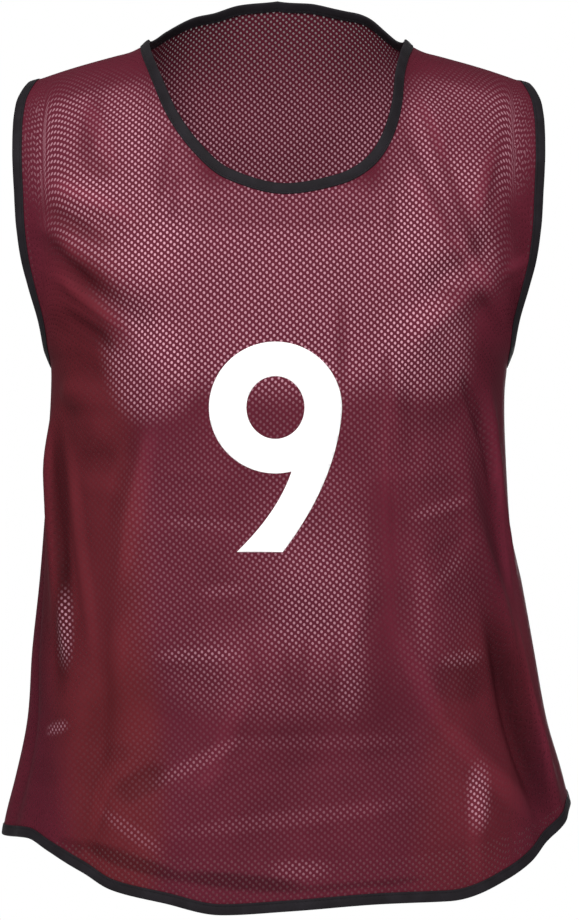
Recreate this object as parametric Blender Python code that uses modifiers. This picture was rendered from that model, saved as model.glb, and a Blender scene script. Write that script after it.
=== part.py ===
"""Mesh training bib, held in its hollow, filled-out shape: two net panels and four bound edges.

Metres, +Z up. The front faces -Y and the bib's right armhole is at -X. The origin lies midway between
the two shoulder seams, at the height of their middles, where the bib is carried.

Both panels lie on one torso form. A place on it is an angle across (0 at the centre of the panel, a
quarter turn either way at the side seams) and a rise (0 at the chest line, a quarter turn at the
shoulder seams, below 0 towards the hem). Folds push the form's surface out and in. Each panel is an
open grid with a Solidify modifier, and its bound edges are tongues that stand in a folded tape.
"""

from collections import namedtuple
from math import pi, radians

import bmesh
import bpy
import numpy as np

MM = 0.001

# Cloth and tape, millimetres
CLOTH_WALL = 1.0
TAPE_WALL = 1.0
TAPE_WIDTH = 8.5
SEAM_GAP = 0.3
PANEL_START = TAPE_WIDTH + 0.8
RAW_EDGE = 3.0

# The torso form, millimetres
CHEST_LINE = -235.0
RISE_SCALE = 250.0
ACROSS_POWER = 2.4
SHOULDER_POWER = 2.2

Section = namedtuple("Section", "height half_width shift front_depth back_depth")
SECTIONS = (
    Section(-680, 231, 8, 126, 114),
    Section(-600, 223, 8, 124, 112),
    Section(-562, 214, 8, 123, 111),
    Section(-512, 202, 6, 122, 109),
    Section(-462, 196, 3, 121, 107),
    Section(-412, 189, 1, 120, 105),
    Section(-362, 182, -2, 119, 104),
    Section(-312, 179, -2, 118, 104),
    Section(-262, 177, -1, 118, 106),
    Section(-240, 178, 0, 118, 107),
    Section(-226, 185, 0, 118, 108),
    Section(-209, 195, 0, 118, 108),
    Section(-183, 212, 0, 118, 108),
    Section(-160, 225, 0, 118, 108),
    Section(-135, 237, 0, 118, 108),
    Section(-111, 248, 0, 118, 108),
    Section(-74, 264, 0, 118, 108),
    Section(-49, 273, 0, 118, 108),
    Section(-32, 278, 0, 118, 108),
    Section(90, 282, 0, 118, 108),
)

TopLine = namedtuple("TopLine", "reach height")
TOP_LINE = (
    TopLine(0, 96),
    TopLine(28, 90.5),
    TopLine(50, 75),
    TopLine(68, 58.5),
    TopLine(88, 34.5),
    TopLine(95, 22.5),
    TopLine(101, 13),
    TopLine(108, 8),
    TopLine(116, 4.5),
    TopLine(124, 2.5),
    TopLine(160, -7.5),
    TopLine(198, -20),
    TopLine(300, -50),
)
NECK_LEAN = -1.5

# Finished front neck edge seen from the front, left to right, millimetres
EdgePoint = namedtuple("EdgePoint", "across height")
FRONT_NECK = (
    EdgePoint(-101, 14),
    EdgePoint(-100.5, 10),
    EdgePoint(-98.5, 2),
    EdgePoint(-94, -10),
    EdgePoint(-88, -24),
    EdgePoint(-77, -49),
    EdgePoint(-59, -75),
    EdgePoint(-36, -95),
    EdgePoint(5, -106),
    EdgePoint(44, -99),
    EdgePoint(66, -86),
    EdgePoint(79, -65),
    EdgePoint(86, -40),
    EdgePoint(89, -17),
    EdgePoint(94, 2),
    EdgePoint(97.2, 11),
    EdgePoint(98, 15.5),
)

# Finished back neck edge, rise in degrees
RisePoint = namedtuple("RisePoint", "across rise")
BACK_NECK = (
    RisePoint(-101, 90),
    RisePoint(-100.2, 86.5),
    RisePoint(-97.5, 82),
    RisePoint(-88, 74.8),
    RisePoint(-68, 68.4),
    RisePoint(-50, 64),
    RisePoint(-28, 61.6),
    RisePoint(0, 61),
    RisePoint(28, 62),
    RisePoint(50, 65.5),
    RisePoint(72, 71.5),
    RisePoint(87, 74.5),
    RisePoint(94, 79.5),
    RisePoint(97.4, 86),
    RisePoint(98, 90),
)

# An armhole from its shoulder end (turn in degrees from the front or back centre) down to the seam
ArmholePoint = namedtuple("ArmholePoint", "turn height")
ARMHOLE = (
    ArmholePoint(44.2, -17),
    ArmholePoint(46.3, -32),
    ArmholePoint(48.3, -49),
    ArmholePoint(50.6, -74),
    ArmholePoint(54.5, -111),
    ArmholePoint(57.7, -135),
    ArmholePoint(61, -160),
    ArmholePoint(64.3, -183),
    ArmholePoint(68, -200),
    ArmholePoint(72, -212),
    ArmholePoint(76, -220),
    ArmholePoint(80, -226),
    ArmholePoint(84, -230),
    ArmholePoint(87, -232),
    ArmholePoint(90, -233),
)

# Finished hem, turn in degrees from the centre of each panel, heights in millimetres
HemPoint = namedtuple("HemPoint", "turn front back")
HEM = (
    HemPoint(-90, -606, -606),
    HemPoint(-78, -604, -609),
    HemPoint(-64, -602, -617),
    HemPoint(-54, -610, -623),
    HemPoint(-44, -624, -629),
    HemPoint(-36, -636, -633),
    HemPoint(-24, -645, -638),
    HemPoint(-13, -653, -641),
    HemPoint(0, -650, -642),
    HemPoint(18, -645, -640),
    HemPoint(32, -644, -634),
    HemPoint(47, -629, -622),
    HemPoint(67, -599, -600),
    HemPoint(80, -584, -586),
    HemPoint(90, -580, -580),
)

# Folds run straight between two places, given as an angle round the bib (0 front centre, 90 the
# left side seam, 180 back centre) in degrees and a height. Height out is the crest.
Fold = namedtuple("Fold", "start_turn start_height end_turn end_height half_width out")
FOLDS = (
    Fold(-80, -262, -54, -480, 15, 8),
    Fold(-54, -440, -50, -700, 20, 5),
    Fold(-86, -320, -70, -680, 15, -7),
    Fold(-37, -270, -33, -700, 22, 7),
    Fold(-44, -380, -42, -700, 14, -5),
    Fold(-30, -640, -3, -420, 20, 5),
    Fold(-12, -640, 8, -500, 20, -4),
    Fold(48, -262, 76, -640, 14, 7),
    Fold(64, -240, 76, -420, 12, 6),
    Fold(58, -420, 64, -700, 18, -9),
    Fold(34, -330, 42, -700, 22, 6),
    Fold(20, -440, 26, -700, 20, -4),
    Fold(-49, -146, -30, -186, 16, 6),
    Fold(-47, -172, -28, -222, 16, -5),
    Fold(-72, -236, -40, -300, 17, 6),
    Fold(49, -138, 30, -196, 17, -6),
    Fold(47, -170, 30, -232, 17, 5),
    Fold(150, -280, 141, -700, 26, 8),
    Fold(-142, -250, -133, -700, 24, 8),
    Fold(176, -380, 171, -700, 30, -6),
    Fold(-164, -420, -158, -700, 24, -5),
    Fold(116, -240, 110, -660, 18, -7),
    Fold(-112, -250, -119, -660, 17, -7),
    Fold(-130, -160, -152, -236, 18, 6),
    Fold(131, -150, 153, -240, 18, 6),
)
FOLD_GIRTH_RADIUS = 190.0
FOLD_END_SHARE = 0.3
CALM_SHARE = 0.15
CALM_REACH = 50.0
HEM_CALM_SHARE = 0.45
HEM_CALM_REACH = 80.0

# Grid cells of a panel
SIDE_CELLS = 17
ARMHOLE_CELLS = 18
SHOULDER_CELLS = 5
ACROSS_CELLS = 36

COLOURS = {"net": (0.115, 0.012, 0.022, 1.0), "tape": (0.012, 0.012, 0.014, 1.0)}

QUARTER = pi / 2
FRONT, BACK = -1, 1


def smooth_through(at, knots, values):
    """A curve through the rows of a table that doesn't overshoot between them."""
    at, knots, values = (np.asarray(item, float) for item in (at, knots, values))
    slopes = np.diff(values) / np.diff(knots)
    tangents = np.concatenate([slopes[:1], np.zeros(len(knots) - 2), slopes[-1:]])
    same_way = slopes[:-1] * slopes[1:] > 0
    with np.errstate(divide="ignore", invalid="ignore"):
        means = 2 * slopes[:-1] * slopes[1:] / (slopes[:-1] + slopes[1:])
    tangents[1:-1] = np.where(same_way, means, 0)
    index = np.clip(np.searchsorted(knots, at) - 1, 0, len(knots) - 2)
    step = knots[index + 1] - knots[index]
    t = np.clip((at - knots[index]) / step, 0, 1)
    return (
        values[index] * (1 + 2 * t) * (1 - t) ** 2
        + tangents[index] * step * t * (1 - t) ** 2
        + values[index + 1] * t**2 * (3 - 2 * t)
        + tangents[index + 1] * step * t**2 * (t - 1)
    )


def section_value(name, height):
    """One column of the section table at these heights."""
    return smooth_through(height, [s.height for s in SECTIONS], [getattr(s, name) for s in SECTIONS])


def top_height(across):
    """Height of the shoulder line, and of the neck's root between the shoulders."""
    return smooth_through(np.abs(across - NECK_LEAN), [p.reach for p in TOP_LINE], [p.height for p in TOP_LINE])


def smoothstep(t):
    """0 to 1 with level ends."""
    t = np.clip(t, 0, 1)
    return t * t * (3 - 2 * t)


def base_point(face, angle, rise):
    """The form's point, in millimetres, before folds."""
    angle, rise = np.asarray(angle, float), np.asarray(rise, float)
    climb = np.sin(np.clip(rise, 0, QUARTER))
    height = CHEST_LINE + RISE_SCALE * np.where(rise < 0, rise, climb)
    for _ in range(4):
        across = section_value("half_width", height) * np.sin(angle) + section_value("shift", height)
        reach_up = top_height(across) - CHEST_LINE
        height = CHEST_LINE + np.where(rise < 0, RISE_SCALE * rise, reach_up * climb)
    column = "front_depth" if face == FRONT else "back_depth"
    round_side = (1 - np.abs(np.sin(angle)) ** ACROSS_POWER).clip(0) ** (1 / ACROSS_POWER)
    round_top = (1 - climb**SHOULDER_POWER).clip(0) ** (1 / SHOULDER_POWER)
    depth = face * section_value(column, height) * round_side * round_top
    return np.stack([across, depth, height], axis=-1)


def directions(face, angle, rise):
    """Unit directions along the angle, along the rise and out of the form, with step lengths."""
    step = 2e-3
    low_angle, high_angle = np.clip(angle - step, -QUARTER, QUARTER), np.clip(angle + step, -QUARTER, QUARTER)
    low_rise, high_rise = rise - step, np.minimum(rise + step, QUARTER)
    along = base_point(face, high_angle, rise) - base_point(face, low_angle, rise)
    along = along / (high_angle - low_angle)[..., None]
    up = base_point(face, angle, high_rise) - base_point(face, angle, low_rise)
    up = up / (high_rise - low_rise)[..., None]
    out = np.cross(along, up) * -face
    return along, up, out / np.linalg.norm(out, axis=-1, keepdims=True)


def calm_by_tape(face, angle, point):
    """Share of a fold's height that is left near an armhole or the hem, where tape holds the cloth."""
    heights, turns = [p.height for p in reversed(ARMHOLE)], [p.turn for p in reversed(ARMHOLE)]
    edge = np.sin(np.radians(smooth_through(point[..., 2], heights, turns)))
    beside = (section_value("half_width", point[..., 2]) * edge - np.abs(point[..., 0])).clip(0)
    below = (heights[0] - point[..., 2]).clip(0)
    at_armhole = CALM_SHARE + (1 - CALM_SHARE) * smoothstep(np.hypot(beside, below) / CALM_REACH)
    above_hem = point[..., 2] - hem_height(face, angle)
    return at_armhole * (HEM_CALM_SHARE + (1 - HEM_CALM_SHARE) * smoothstep(above_hem / HEM_CALM_REACH))


def hem_height(face, angle):
    """Height of the finished hem at these angles."""
    column = [p.front if face == FRONT else p.back for p in HEM]
    return smooth_through(np.degrees(angle), [p.turn for p in HEM], column)


def fold_height(face, angle, point):
    """How far the folds push the cloth out at these places, in millimetres."""
    turn = angle if face == FRONT else np.where(angle < 0, -pi - angle, pi - angle)
    height = point[..., 2]
    pushed = np.zeros(np.shape(turn))
    for fold in FOLDS:
        start = np.array([radians(fold.start_turn) * FOLD_GIRTH_RADIUS, fold.start_height])
        run = np.array([radians(fold.end_turn) * FOLD_GIRTH_RADIUS, fold.end_height]) - start
        length = np.linalg.norm(run)
        run = run / length
        for wrapped in (turn, turn - 2 * pi, turn + 2 * pi):
            away = np.stack([wrapped * FOLD_GIRTH_RADIUS, height], axis=-1) - start
            along = away @ run / length
            aside = away @ np.array([-run[1], run[0]])
            ends = smoothstep(along / FOLD_END_SHARE) * smoothstep((1 - along) / FOLD_END_SHARE)
            pushed = pushed + fold.out * ends * np.exp(-((aside / fold.half_width) ** 2))
    return pushed * calm_by_tape(face, angle, point)


def cloth_point(face, angle, rise):
    """The middle of the cloth, in millimetres, with its folds."""
    point = base_point(face, angle, rise)
    out = directions(face, angle, rise)[2]
    return point + out * fold_height(face, angle, point)[..., None]


def place_on_form(across, height):
    """The angle and rise of a place given by its front view."""
    across, height = np.asarray(across, float), np.asarray(height, float)
    sine = (across - section_value("shift", height)) / section_value("half_width", height)
    climb = np.clip((height - CHEST_LINE) / (top_height(across) - CHEST_LINE), -1, 1)
    rise = np.where(height < CHEST_LINE, (height - CHEST_LINE) / RISE_SCALE, np.arcsin(climb))
    return np.stack([np.arcsin(np.clip(sine, -1, 1)), rise], axis=-1)


def evenly_along(face, places, count):
    """Places spaced evenly, by length on the form, along a finely sampled edge."""
    points = base_point(face, places[:, 0], places[:, 1])
    lengths = np.linalg.norm(np.diff(points, axis=0), axis=1)
    travelled = np.concatenate([[0], np.cumsum(lengths)])
    wanted = np.linspace(0, travelled[-1], count + 1)
    return np.stack([np.interp(wanted, travelled, places[:, k]) for k in (0, 1)], axis=-1)


def neck_edge(face):
    """Finished neck edge from the left shoulder seam to the right one."""
    table = FRONT_NECK if face == FRONT else BACK_NECK
    across, level = (np.array(column, float) for column in zip(*table))
    chord = np.concatenate([[0], np.cumsum(np.hypot(np.diff(across), np.diff(level)))])
    fine = np.linspace(0, chord[-1], 400)
    across, level = smooth_through(fine, chord, across), smooth_through(fine, chord, level)
    if face == BACK:
        level = CHEST_LINE + (top_height(across) - CHEST_LINE) * np.sin(np.radians(level))
    places = place_on_form(across, level)
    places[[0, -1], 1] = QUARTER
    return evenly_along(face, places, ACROSS_CELLS)


def armhole_edge(face, side):
    """Finished armhole edge from under the arm up to the shoulder seam."""
    turn = np.linspace(90, ARMHOLE[0].turn, 600)
    height = smooth_through(turn, [p.turn for p in ARMHOLE], [p.height for p in ARMHOLE])
    reach = section_value("half_width", height) * np.sin(np.radians(turn))
    places = place_on_form(side * reach, height)
    places[:, 0] = side * np.radians(turn)
    places[-1, 1] = QUARTER
    return evenly_along(face, places, ARMHOLE_CELLS)


def hem_edge(face):
    """Finished hem from the left side seam to the right one."""
    angle = np.linspace(-QUARTER, QUARTER, ACROSS_CELLS + 1)
    return np.stack([angle, (hem_height(face, angle) - CHEST_LINE) / RISE_SCALE], axis=-1)


def move_in(face, places, distance, toward):
    """The same edge, moved into the cloth by a distance. Its two ends slide along their seams.

    toward is the side of the edge that the cloth lies on, as a direction (angle, rise) for each end.
    """
    along, up, out = directions(face, places[:, 0], places[:, 1])
    points = base_point(face, places[:, 0], places[:, 1])
    tangent = np.gradient(points, axis=0)
    inward = np.cross(out, tangent)
    inward /= np.linalg.norm(inward, axis=1, keepdims=True)
    middle = len(places) // 2
    hint = along[middle] * toward["middle"][0] + up[middle] * toward["middle"][1]
    inward *= np.sign(inward[middle] @ hint)
    for _ in range(2):
        inward[1:-1] = (inward[:-2] + 2 * inward[1:-1] + inward[2:]) / 4
        inward /= np.linalg.norm(inward, axis=1, keepdims=True)
    moved = places.copy()
    for _ in range(6):
        missing = points + inward * distance - base_point(face, moved[:, 0], moved[:, 1])
        here_along, here_up, _ = directions(face, moved[:, 0], moved[:, 1])
        for i in range(1, len(places) - 1):
            jacobian = np.stack([here_along[i], here_up[i]], axis=1)
            moved[i] += np.linalg.lstsq(jacobian, missing[i], rcond=None)[0]
    for i, end in ((0, "first"), (-1, "last")):
        steps = np.linspace(0, radians(8), 120)[:, None]
        tried = places[i] + np.array(toward[end]) * steps
        reached = np.linalg.norm(base_point(face, tried[:, 0], tried[:, 1]) - points[i], axis=1)
        moved[i] = places[i] + np.array(toward[end]) * np.interp(distance, reached, steps[:, 0])
    return moved


class Edge:
    """One bound edge of one panel: its finished line and the line where the plain cloth starts."""

    def __init__(self, face, places, toward):
        self.finished = places
        self.start = move_in(face, places, PANEL_START, toward)
        self.points = cloth_point(face, places[:, 0], places[:, 1])
        self.start_points = cloth_point(face, self.start[:, 0], self.start[:, 1])
        lift = np.array([0, face * SEAM_GAP / 2, 0])
        self.points = self.points + lift
        self.start_points = self.start_points + lift
        inward = self.start_points - self.points
        self.inward = inward / np.linalg.norm(inward, axis=1, keepdims=True)
        tangent = np.gradient(self.points + self.start_points, axis=0)
        out = np.cross(tangent, self.inward)
        form_out = directions(face, self.start[:, 0], self.start[:, 1])[2]
        out *= np.sign((out * form_out).sum(1, keepdims=True))
        self.out = out / np.linalg.norm(out, axis=1, keepdims=True)


class Panel:
    """Front or back: its bound edges and the grid of cloth between them."""

    def __init__(self, face):
        self.face = face
        self.neck = Edge(face, neck_edge(face), {"middle": (0, -1), "first": (-1, 0), "last": (1, 0)})
        self.hem = Edge(face, hem_edge(face), {"middle": (0, 1), "first": (0, 1), "last": (0, 1)})
        self.armholes = {
            side: Edge(
                face,
                armhole_edge(face, side),
                {"middle": (-side, 0), "first": (0, -1), "last": (-side, 0)},
            )
            for side in (-1, 1)
        }

    def side_line(self, side):
        """Side seam, armhole and shoulder seam, from the hem up to the neck, as places."""
        armhole = self.armholes[side].start
        hem_corner = self.hem.start[0 if side < 0 else -1]
        neck_corner = self.neck.start[0 if side < 0 else -1]
        rises = np.linspace(hem_corner[1], armhole[0, 1], SIDE_CELLS + 1)[:-1]
        seam = np.stack([np.full(SIDE_CELLS, side * QUARTER), rises], axis=-1)
        steps = np.linspace(0, 1, SHOULDER_CELLS + 1)[1:, None]
        shoulder = armhole[-1] + (neck_corner - armhole[-1]) * steps
        return np.concatenate([seam, armhole, shoulder])

    def places(self):
        """The grid of places inside the four lines, blended from them."""
        bottom, top = self.hem.start[:, None], self.neck.start[:, None]
        left, right = self.side_line(-1)[None], self.side_line(1)[None]
        u = np.linspace(0, 1, bottom.shape[0])[:, None, None]
        v = np.linspace(0, 1, left.shape[1])[None, :, None]
        ruled = (1 - v) * bottom + v * top
        return ruled + (1 - u) ** 3 * (left - ruled[:1]) + u**3 * (right - ruled[-1:])

    def grid_points(self):
        """The grid in millimetres, with the seam gap shared between the panels."""
        places = self.places()
        points = cloth_point(self.face, places[..., 0], places[..., 1])
        return points + np.array([0, self.face * SEAM_GAP / 2, 0])


def new_object(name, mesh, collection, material, parent):
    """A named sub-part in the bib's collection."""
    mesh.materials.append(material)
    mesh.shade_smooth()
    item = bpy.data.objects.new(name, mesh)
    collection.objects.link(item)
    item.parent = parent
    return item


def build_panel(name, panel, collection, material, parent):
    """The grid, with a tongue along each bound edge, given its wall by Solidify."""
    points = panel.grid_points()
    columns, rows = points.shape[:2]
    mesh = bmesh.new()
    bmesh.ops.create_grid(mesh, x_segments=columns - 1, y_segments=rows - 1, size=1)
    spread = sorted(mesh.verts, key=lambda v: (round(v.co.x, 5), round(v.co.y, 5)))
    at = {(i, j): spread[i * rows + j] for i in range(columns) for j in range(rows)}
    for (i, j), vertex in at.items():
        vertex.co = points[i, j] * MM
    armhole_rows = range(SIDE_CELLS, SIDE_CELLS + ARMHOLE_CELLS + 1)
    bound = (
        (panel.neck, [at[i, rows - 1] for i in range(columns)]),
        (panel.hem, [at[i, 0] for i in range(columns)]),
        (panel.armholes[-1], [at[0, j] for j in armhole_rows]),
        (panel.armholes[1], [at[columns - 1, j] for j in armhole_rows]),
    )
    for edge, line in bound:
        add_tongue(mesh, edge, line, panel.face)
    if panel.face == BACK:
        bmesh.ops.reverse_faces(mesh, faces=mesh.faces)
    data = bpy.data.meshes.new(name)
    mesh.to_mesh(data)
    mesh.free()
    item = new_object(name, data, collection, material, parent)
    wall = item.modifiers.new("wall", "SOLIDIFY")
    wall.thickness = CLOTH_WALL * MM
    wall.offset = 0
    return item


def add_tongue(mesh, edge, line, face):
    """Extrudes a strip of cloth from a row of grid vertices out to the raw edge inside the tape."""
    edges = [mesh.edges.get((a, b)) for a, b in zip(line, line[1:])]
    made = bmesh.ops.extrude_edge_only(mesh, edges=edges)["geom"]
    new_vertices = [item for item in made if isinstance(item, bmesh.types.BMVert)]
    raw = (edge.points + edge.inward * RAW_EDGE) * MM
    twins = [next(v for v in new_vertices if any(old in e.verts for e in v.link_edges)) for old in line]
    for twin, place in zip(twins, raw):
        twin.co = place
    step = 0 if face == FRONT else 1
    for k in range(len(line) - 1):
        strip = mesh.edges.get((twins[k], twins[k + 1])).link_faces[0]
        bmesh.utils.face_split(strip, line[k + step], twins[k + 1 - step])


def tape_profile():
    """Cross-section of the folded tape: (distance in from the finished edge, height out), mm."""
    outer = CLOTH_WALL / 2 + SEAM_GAP + TAPE_WALL
    inner = CLOTH_WALL / 2 + SEAM_GAP
    fold = 0.9
    return (
        (TAPE_WIDTH, outer),
        (fold, outer),
        (0, outer * 0.45),
        (0, -outer * 0.45),
        (fold, -outer),
        (TAPE_WIDTH, -outer),
        (TAPE_WIDTH, -inner),
        (TAPE_WALL, -inner),
        (TAPE_WALL, inner),
        (TAPE_WIDTH, inner),
    )


def ring_of(first, second):
    """Stations of a closed tape from the two panels' edges, each seam shared by one station."""

    def join(values_a, values_b):
        return np.concatenate(
            [
                [(values_a[0] + values_b[0]) / 2],
                values_a[1:-1],
                [(values_a[-1] + values_b[-1]) / 2],
                values_b[1:-1][::-1],
            ]
        )

    origins = join(first.points, second.points)
    inward = join(first.inward, second.inward)
    out = join(first.out, second.out)
    inward /= np.linalg.norm(inward, axis=1, keepdims=True)
    out -= inward * (out * inward).sum(1, keepdims=True)
    return origins, inward, out / np.linalg.norm(out, axis=1, keepdims=True)


def build_tape(name, stations, collection, material, parent):
    """A folded tape: its profile carried round the stations and closed on itself."""
    origins, inward, out = stations
    mesh = bmesh.new()
    rings = []
    for origin, direction, normal in zip(origins, inward, out):
        ring = [
            mesh.verts.new((origin + direction * depth + normal * lift) * MM)
            for depth, lift in tape_profile()
        ]
        rings.append(ring)
    profile = tape_profile()
    for ring, following in zip(rings, rings[1:] + rings[:1]):
        for k, (depth, _) in enumerate(profile):
            after = (k + 1) % len(profile)
            deep, shallow = (k, after) if depth >= profile[after][0] else (after, k)
            mesh.faces.new((ring[k], ring[after], following[shallow]))
            mesh.faces.new((ring[deep], following[after], following[k]))
    bmesh.ops.recalc_face_normals(mesh, faces=mesh.faces)
    data = bpy.data.meshes.new(name)
    mesh.to_mesh(data)
    mesh.free()
    return new_object(name, data, collection, material, parent)


def plain_material(name, colour, roughness):
    """A material of one colour."""
    material = bpy.data.materials.new(name)
    material.use_nodes = True
    shader = material.node_tree.nodes["Principled BSDF"]
    shader.inputs["Base Color"].default_value = colour
    shader.inputs["Roughness"].default_value = roughness
    shader.inputs["Metallic"].default_value = 0
    return material


def main():
    """Clears the scene and builds the bib."""
    for item in list(bpy.data.objects):
        bpy.data.objects.remove(item)
    collection = bpy.data.collections.new("mesh_training_bib")
    bpy.context.scene.collection.children.link(collection)
    root = bpy.data.objects.new("bib_root", None)
    collection.objects.link(root)

    front, back = Panel(FRONT), Panel(BACK)
    parts = {
        "front_panel": (build_panel, front, "net"),
        "back_panel": (build_panel, back, "net"),
        "neck_binding": (build_tape, ring_of(front.neck, back.neck), "tape"),
        "armhole_binding_right": (build_tape, ring_of(front.armholes[-1], back.armholes[-1]), "tape"),
        "armhole_binding_left": (build_tape, ring_of(front.armholes[1], back.armholes[1]), "tape"),
        "hem_binding": (build_tape, ring_of(front.hem, back.hem), "tape"),
    }
    for name, (build, shape, finish) in parts.items():
        roughness = 0.75 if finish == "net" else 0.6
        material = plain_material(f"{name}_{finish}", COLOURS[finish], roughness)
        build(name, shape, collection, material, root)


main()
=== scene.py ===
"""Looks of the mesh training bib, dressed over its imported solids.

Metres in the scene and millimetres in the tables, +Z up. The front faces -Y and the bib's right
armhole is at -X. The net panels, their folded tapes, the sewing and the printed number are built
on the same torso form as the solids, more finely, and each net panel or tape stands for its solid.
"""

import logging
from dataclasses import dataclass, field
from enum import Enum
from math import cos, pi, radians, sin
from typing import Any, NamedTuple, TypeVar

import bmesh
import bpy
import numpy as np
from mathutils import Matrix, Vector


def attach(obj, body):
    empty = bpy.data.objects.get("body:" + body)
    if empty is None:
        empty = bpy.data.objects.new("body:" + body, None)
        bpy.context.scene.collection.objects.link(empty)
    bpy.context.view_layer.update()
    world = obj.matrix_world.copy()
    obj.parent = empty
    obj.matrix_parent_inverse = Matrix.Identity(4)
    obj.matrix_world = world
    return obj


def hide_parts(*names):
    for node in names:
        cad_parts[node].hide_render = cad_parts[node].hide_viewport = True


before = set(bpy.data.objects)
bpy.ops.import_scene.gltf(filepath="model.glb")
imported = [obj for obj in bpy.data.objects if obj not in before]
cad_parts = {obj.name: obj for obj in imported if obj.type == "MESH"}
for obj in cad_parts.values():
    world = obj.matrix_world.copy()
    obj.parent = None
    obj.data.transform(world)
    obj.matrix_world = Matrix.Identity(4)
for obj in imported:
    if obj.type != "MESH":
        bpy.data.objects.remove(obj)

LOG = logging.getLogger("training_bib")
MM = 0.001
QUARTER = pi / 2
DETAIL = 5
SEAM_STATIONS = 150
PATCH_SQUARENESS = 2.6
Row = TypeVar("Row")


class Face(Enum):
    """The two panels, each named by the way it faces along Y."""

    FRONT = -1
    BACK = 1


class Side(Enum):
    """The bib's two sides, each named by the way it lies along X."""

    RIGHT = -1
    LEFT = 1


class Section(NamedTuple):
    """One level of the torso form, in millimetres."""

    height: float
    half_width: float
    shift: float
    front_depth: float
    back_depth: float


class TopLine(NamedTuple):
    """One place on the shoulder line: its reach from the middle and its height."""

    reach: float
    height: float


class EdgePoint(NamedTuple):
    """One place on the front neck edge, as seen from the front."""

    across: float
    height: float


class RisePoint(NamedTuple):
    """One place on the back neck edge, its rise in degrees."""

    across: float
    rise: float


class ArmholePoint(NamedTuple):
    """One place on an armhole: degrees from the panel's centre and height."""

    turn: float
    height: float


class HemPoint(NamedTuple):
    """The hem's height at an angle from the panels' centres, in degrees."""

    turn: float
    front: float
    back: float


class Fold(NamedTuple):
    """A straight fold between two places. Turn 0 is centre front, 180 centre back, in degrees."""

    start_turn: float
    start_height: float
    end_turn: float
    end_height: float
    half_width: float
    out: float


class SoftPatch(NamedTuple):
    """A soft-edged patch of cloth seen from the front or the back, in millimetres and degrees."""

    across: float
    height: float
    half_width: float
    half_height: float
    lean: float
    amount: float
    softness: float = 0.35


def rows_of(kind: type[Row], *rows: tuple[float, ...]) -> tuple[Row, ...]:
    """Makes a table.

    Args:
        kind: What each row is.
        rows: The values of each row, in the order of its fields.

    Returns:
        The rows.
    """
    return tuple(kind(*row) for row in rows)


SECTIONS = rows_of(
    Section,
    (-680, 231, 8, 126, 114), (-600, 223, 8, 124, 112), (-562, 214, 8, 123, 111),
    (-512, 202, 6, 122, 109), (-462, 196, 3, 121, 107), (-412, 189, 1, 120, 105),
    (-362, 182, -2, 119, 104), (-312, 179, -2, 118, 104), (-262, 177, -1, 118, 106),
    (-240, 178, 0, 118, 107), (-226, 185, 0, 118, 108), (-209, 195, 0, 118, 108),
    (-183, 212, 0, 118, 108), (-160, 225, 0, 118, 108), (-135, 237, 0, 118, 108),
    (-111, 248, 0, 118, 108), (-74, 264, 0, 118, 108), (-49, 273, 0, 118, 108),
    (-32, 278, 0, 118, 108), (90, 282, 0, 118, 108),
)
TOP_LINE = rows_of(
    TopLine,
    (0, 96), (28, 90.5), (50, 75), (68, 58.5), (88, 34.5), (95, 22.5), (101, 13), (108, 8),
    (116, 4.5), (124, 2.5), (160, -7.5), (198, -20), (300, -50),
)
FRONT_NECK = rows_of(
    EdgePoint,
    (-101, 14), (-100.5, 10), (-98.5, 2), (-94, -10), (-88, -24), (-77, -49), (-59, -75),
    (-36, -95), (5, -106), (44, -99), (66, -86), (79, -65), (86, -40), (89, -17), (94, 2),
    (97.2, 11), (98, 15.5),
)
BACK_NECK = rows_of(
    RisePoint,
    (-101, 90), (-100.2, 86.5), (-97.5, 82), (-88, 74.8), (-68, 68.4), (-50, 64), (-28, 61.6),
    (0, 61), (28, 62), (50, 65.5), (72, 71.5), (87, 74.5), (94, 79.5), (97.4, 86), (98, 90),
)
ARMHOLE = rows_of(
    ArmholePoint,
    (44.2, -17), (46.3, -32), (48.3, -49), (50.6, -74), (54.5, -111), (57.7, -135), (61, -160),
    (64.3, -183), (68, -200), (72, -212), (76, -220), (80, -226), (84, -230), (87, -232),
    (90, -233),
)
HEM = rows_of(
    HemPoint,
    (-90, -606, -606), (-78, -604, -609), (-64, -602, -617), (-54, -610, -623), (-44, -624, -629),
    (-36, -636, -633), (-24, -645, -638), (-13, -653, -641), (0, -650, -642), (18, -645, -640),
    (32, -644, -634), (47, -629, -622), (67, -599, -600), (80, -584, -586), (90, -580, -580),
)

# The large folds that the solids have too
FOLDS = rows_of(
    Fold,
    (-80, -262, -54, -480, 15, 8), (-54, -440, -50, -700, 20, 5), (-86, -320, -70, -680, 15, -7),
    (-37, -270, -33, -700, 22, 7), (-44, -380, -42, -700, 14, -5), (-30, -640, -3, -420, 20, 5),
    (-12, -640, 8, -500, 20, -4), (48, -262, 76, -640, 14, 7), (64, -240, 76, -420, 12, 6),
    (58, -420, 64, -700, 18, -9), (34, -330, 42, -700, 22, 6), (20, -440, 26, -700, 20, -4),
    (-49, -146, -30, -186, 16, 6), (-47, -172, -28, -222, 16, -5), (-72, -236, -40, -300, 17, 6),
    (49, -138, 30, -196, 17, -6), (47, -170, 30, -232, 17, 5), (150, -280, 141, -700, 26, 8),
    (-142, -250, -133, -700, 24, 8), (176, -380, 171, -700, 30, -6),
    (-164, -420, -158, -700, 24, -5), (116, -240, 110, -660, 18, -7),
    (-112, -250, -119, -660, 17, -7), (-130, -160, -152, -236, 18, 6),
    (131, -150, 153, -240, 18, 6),
)

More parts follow.
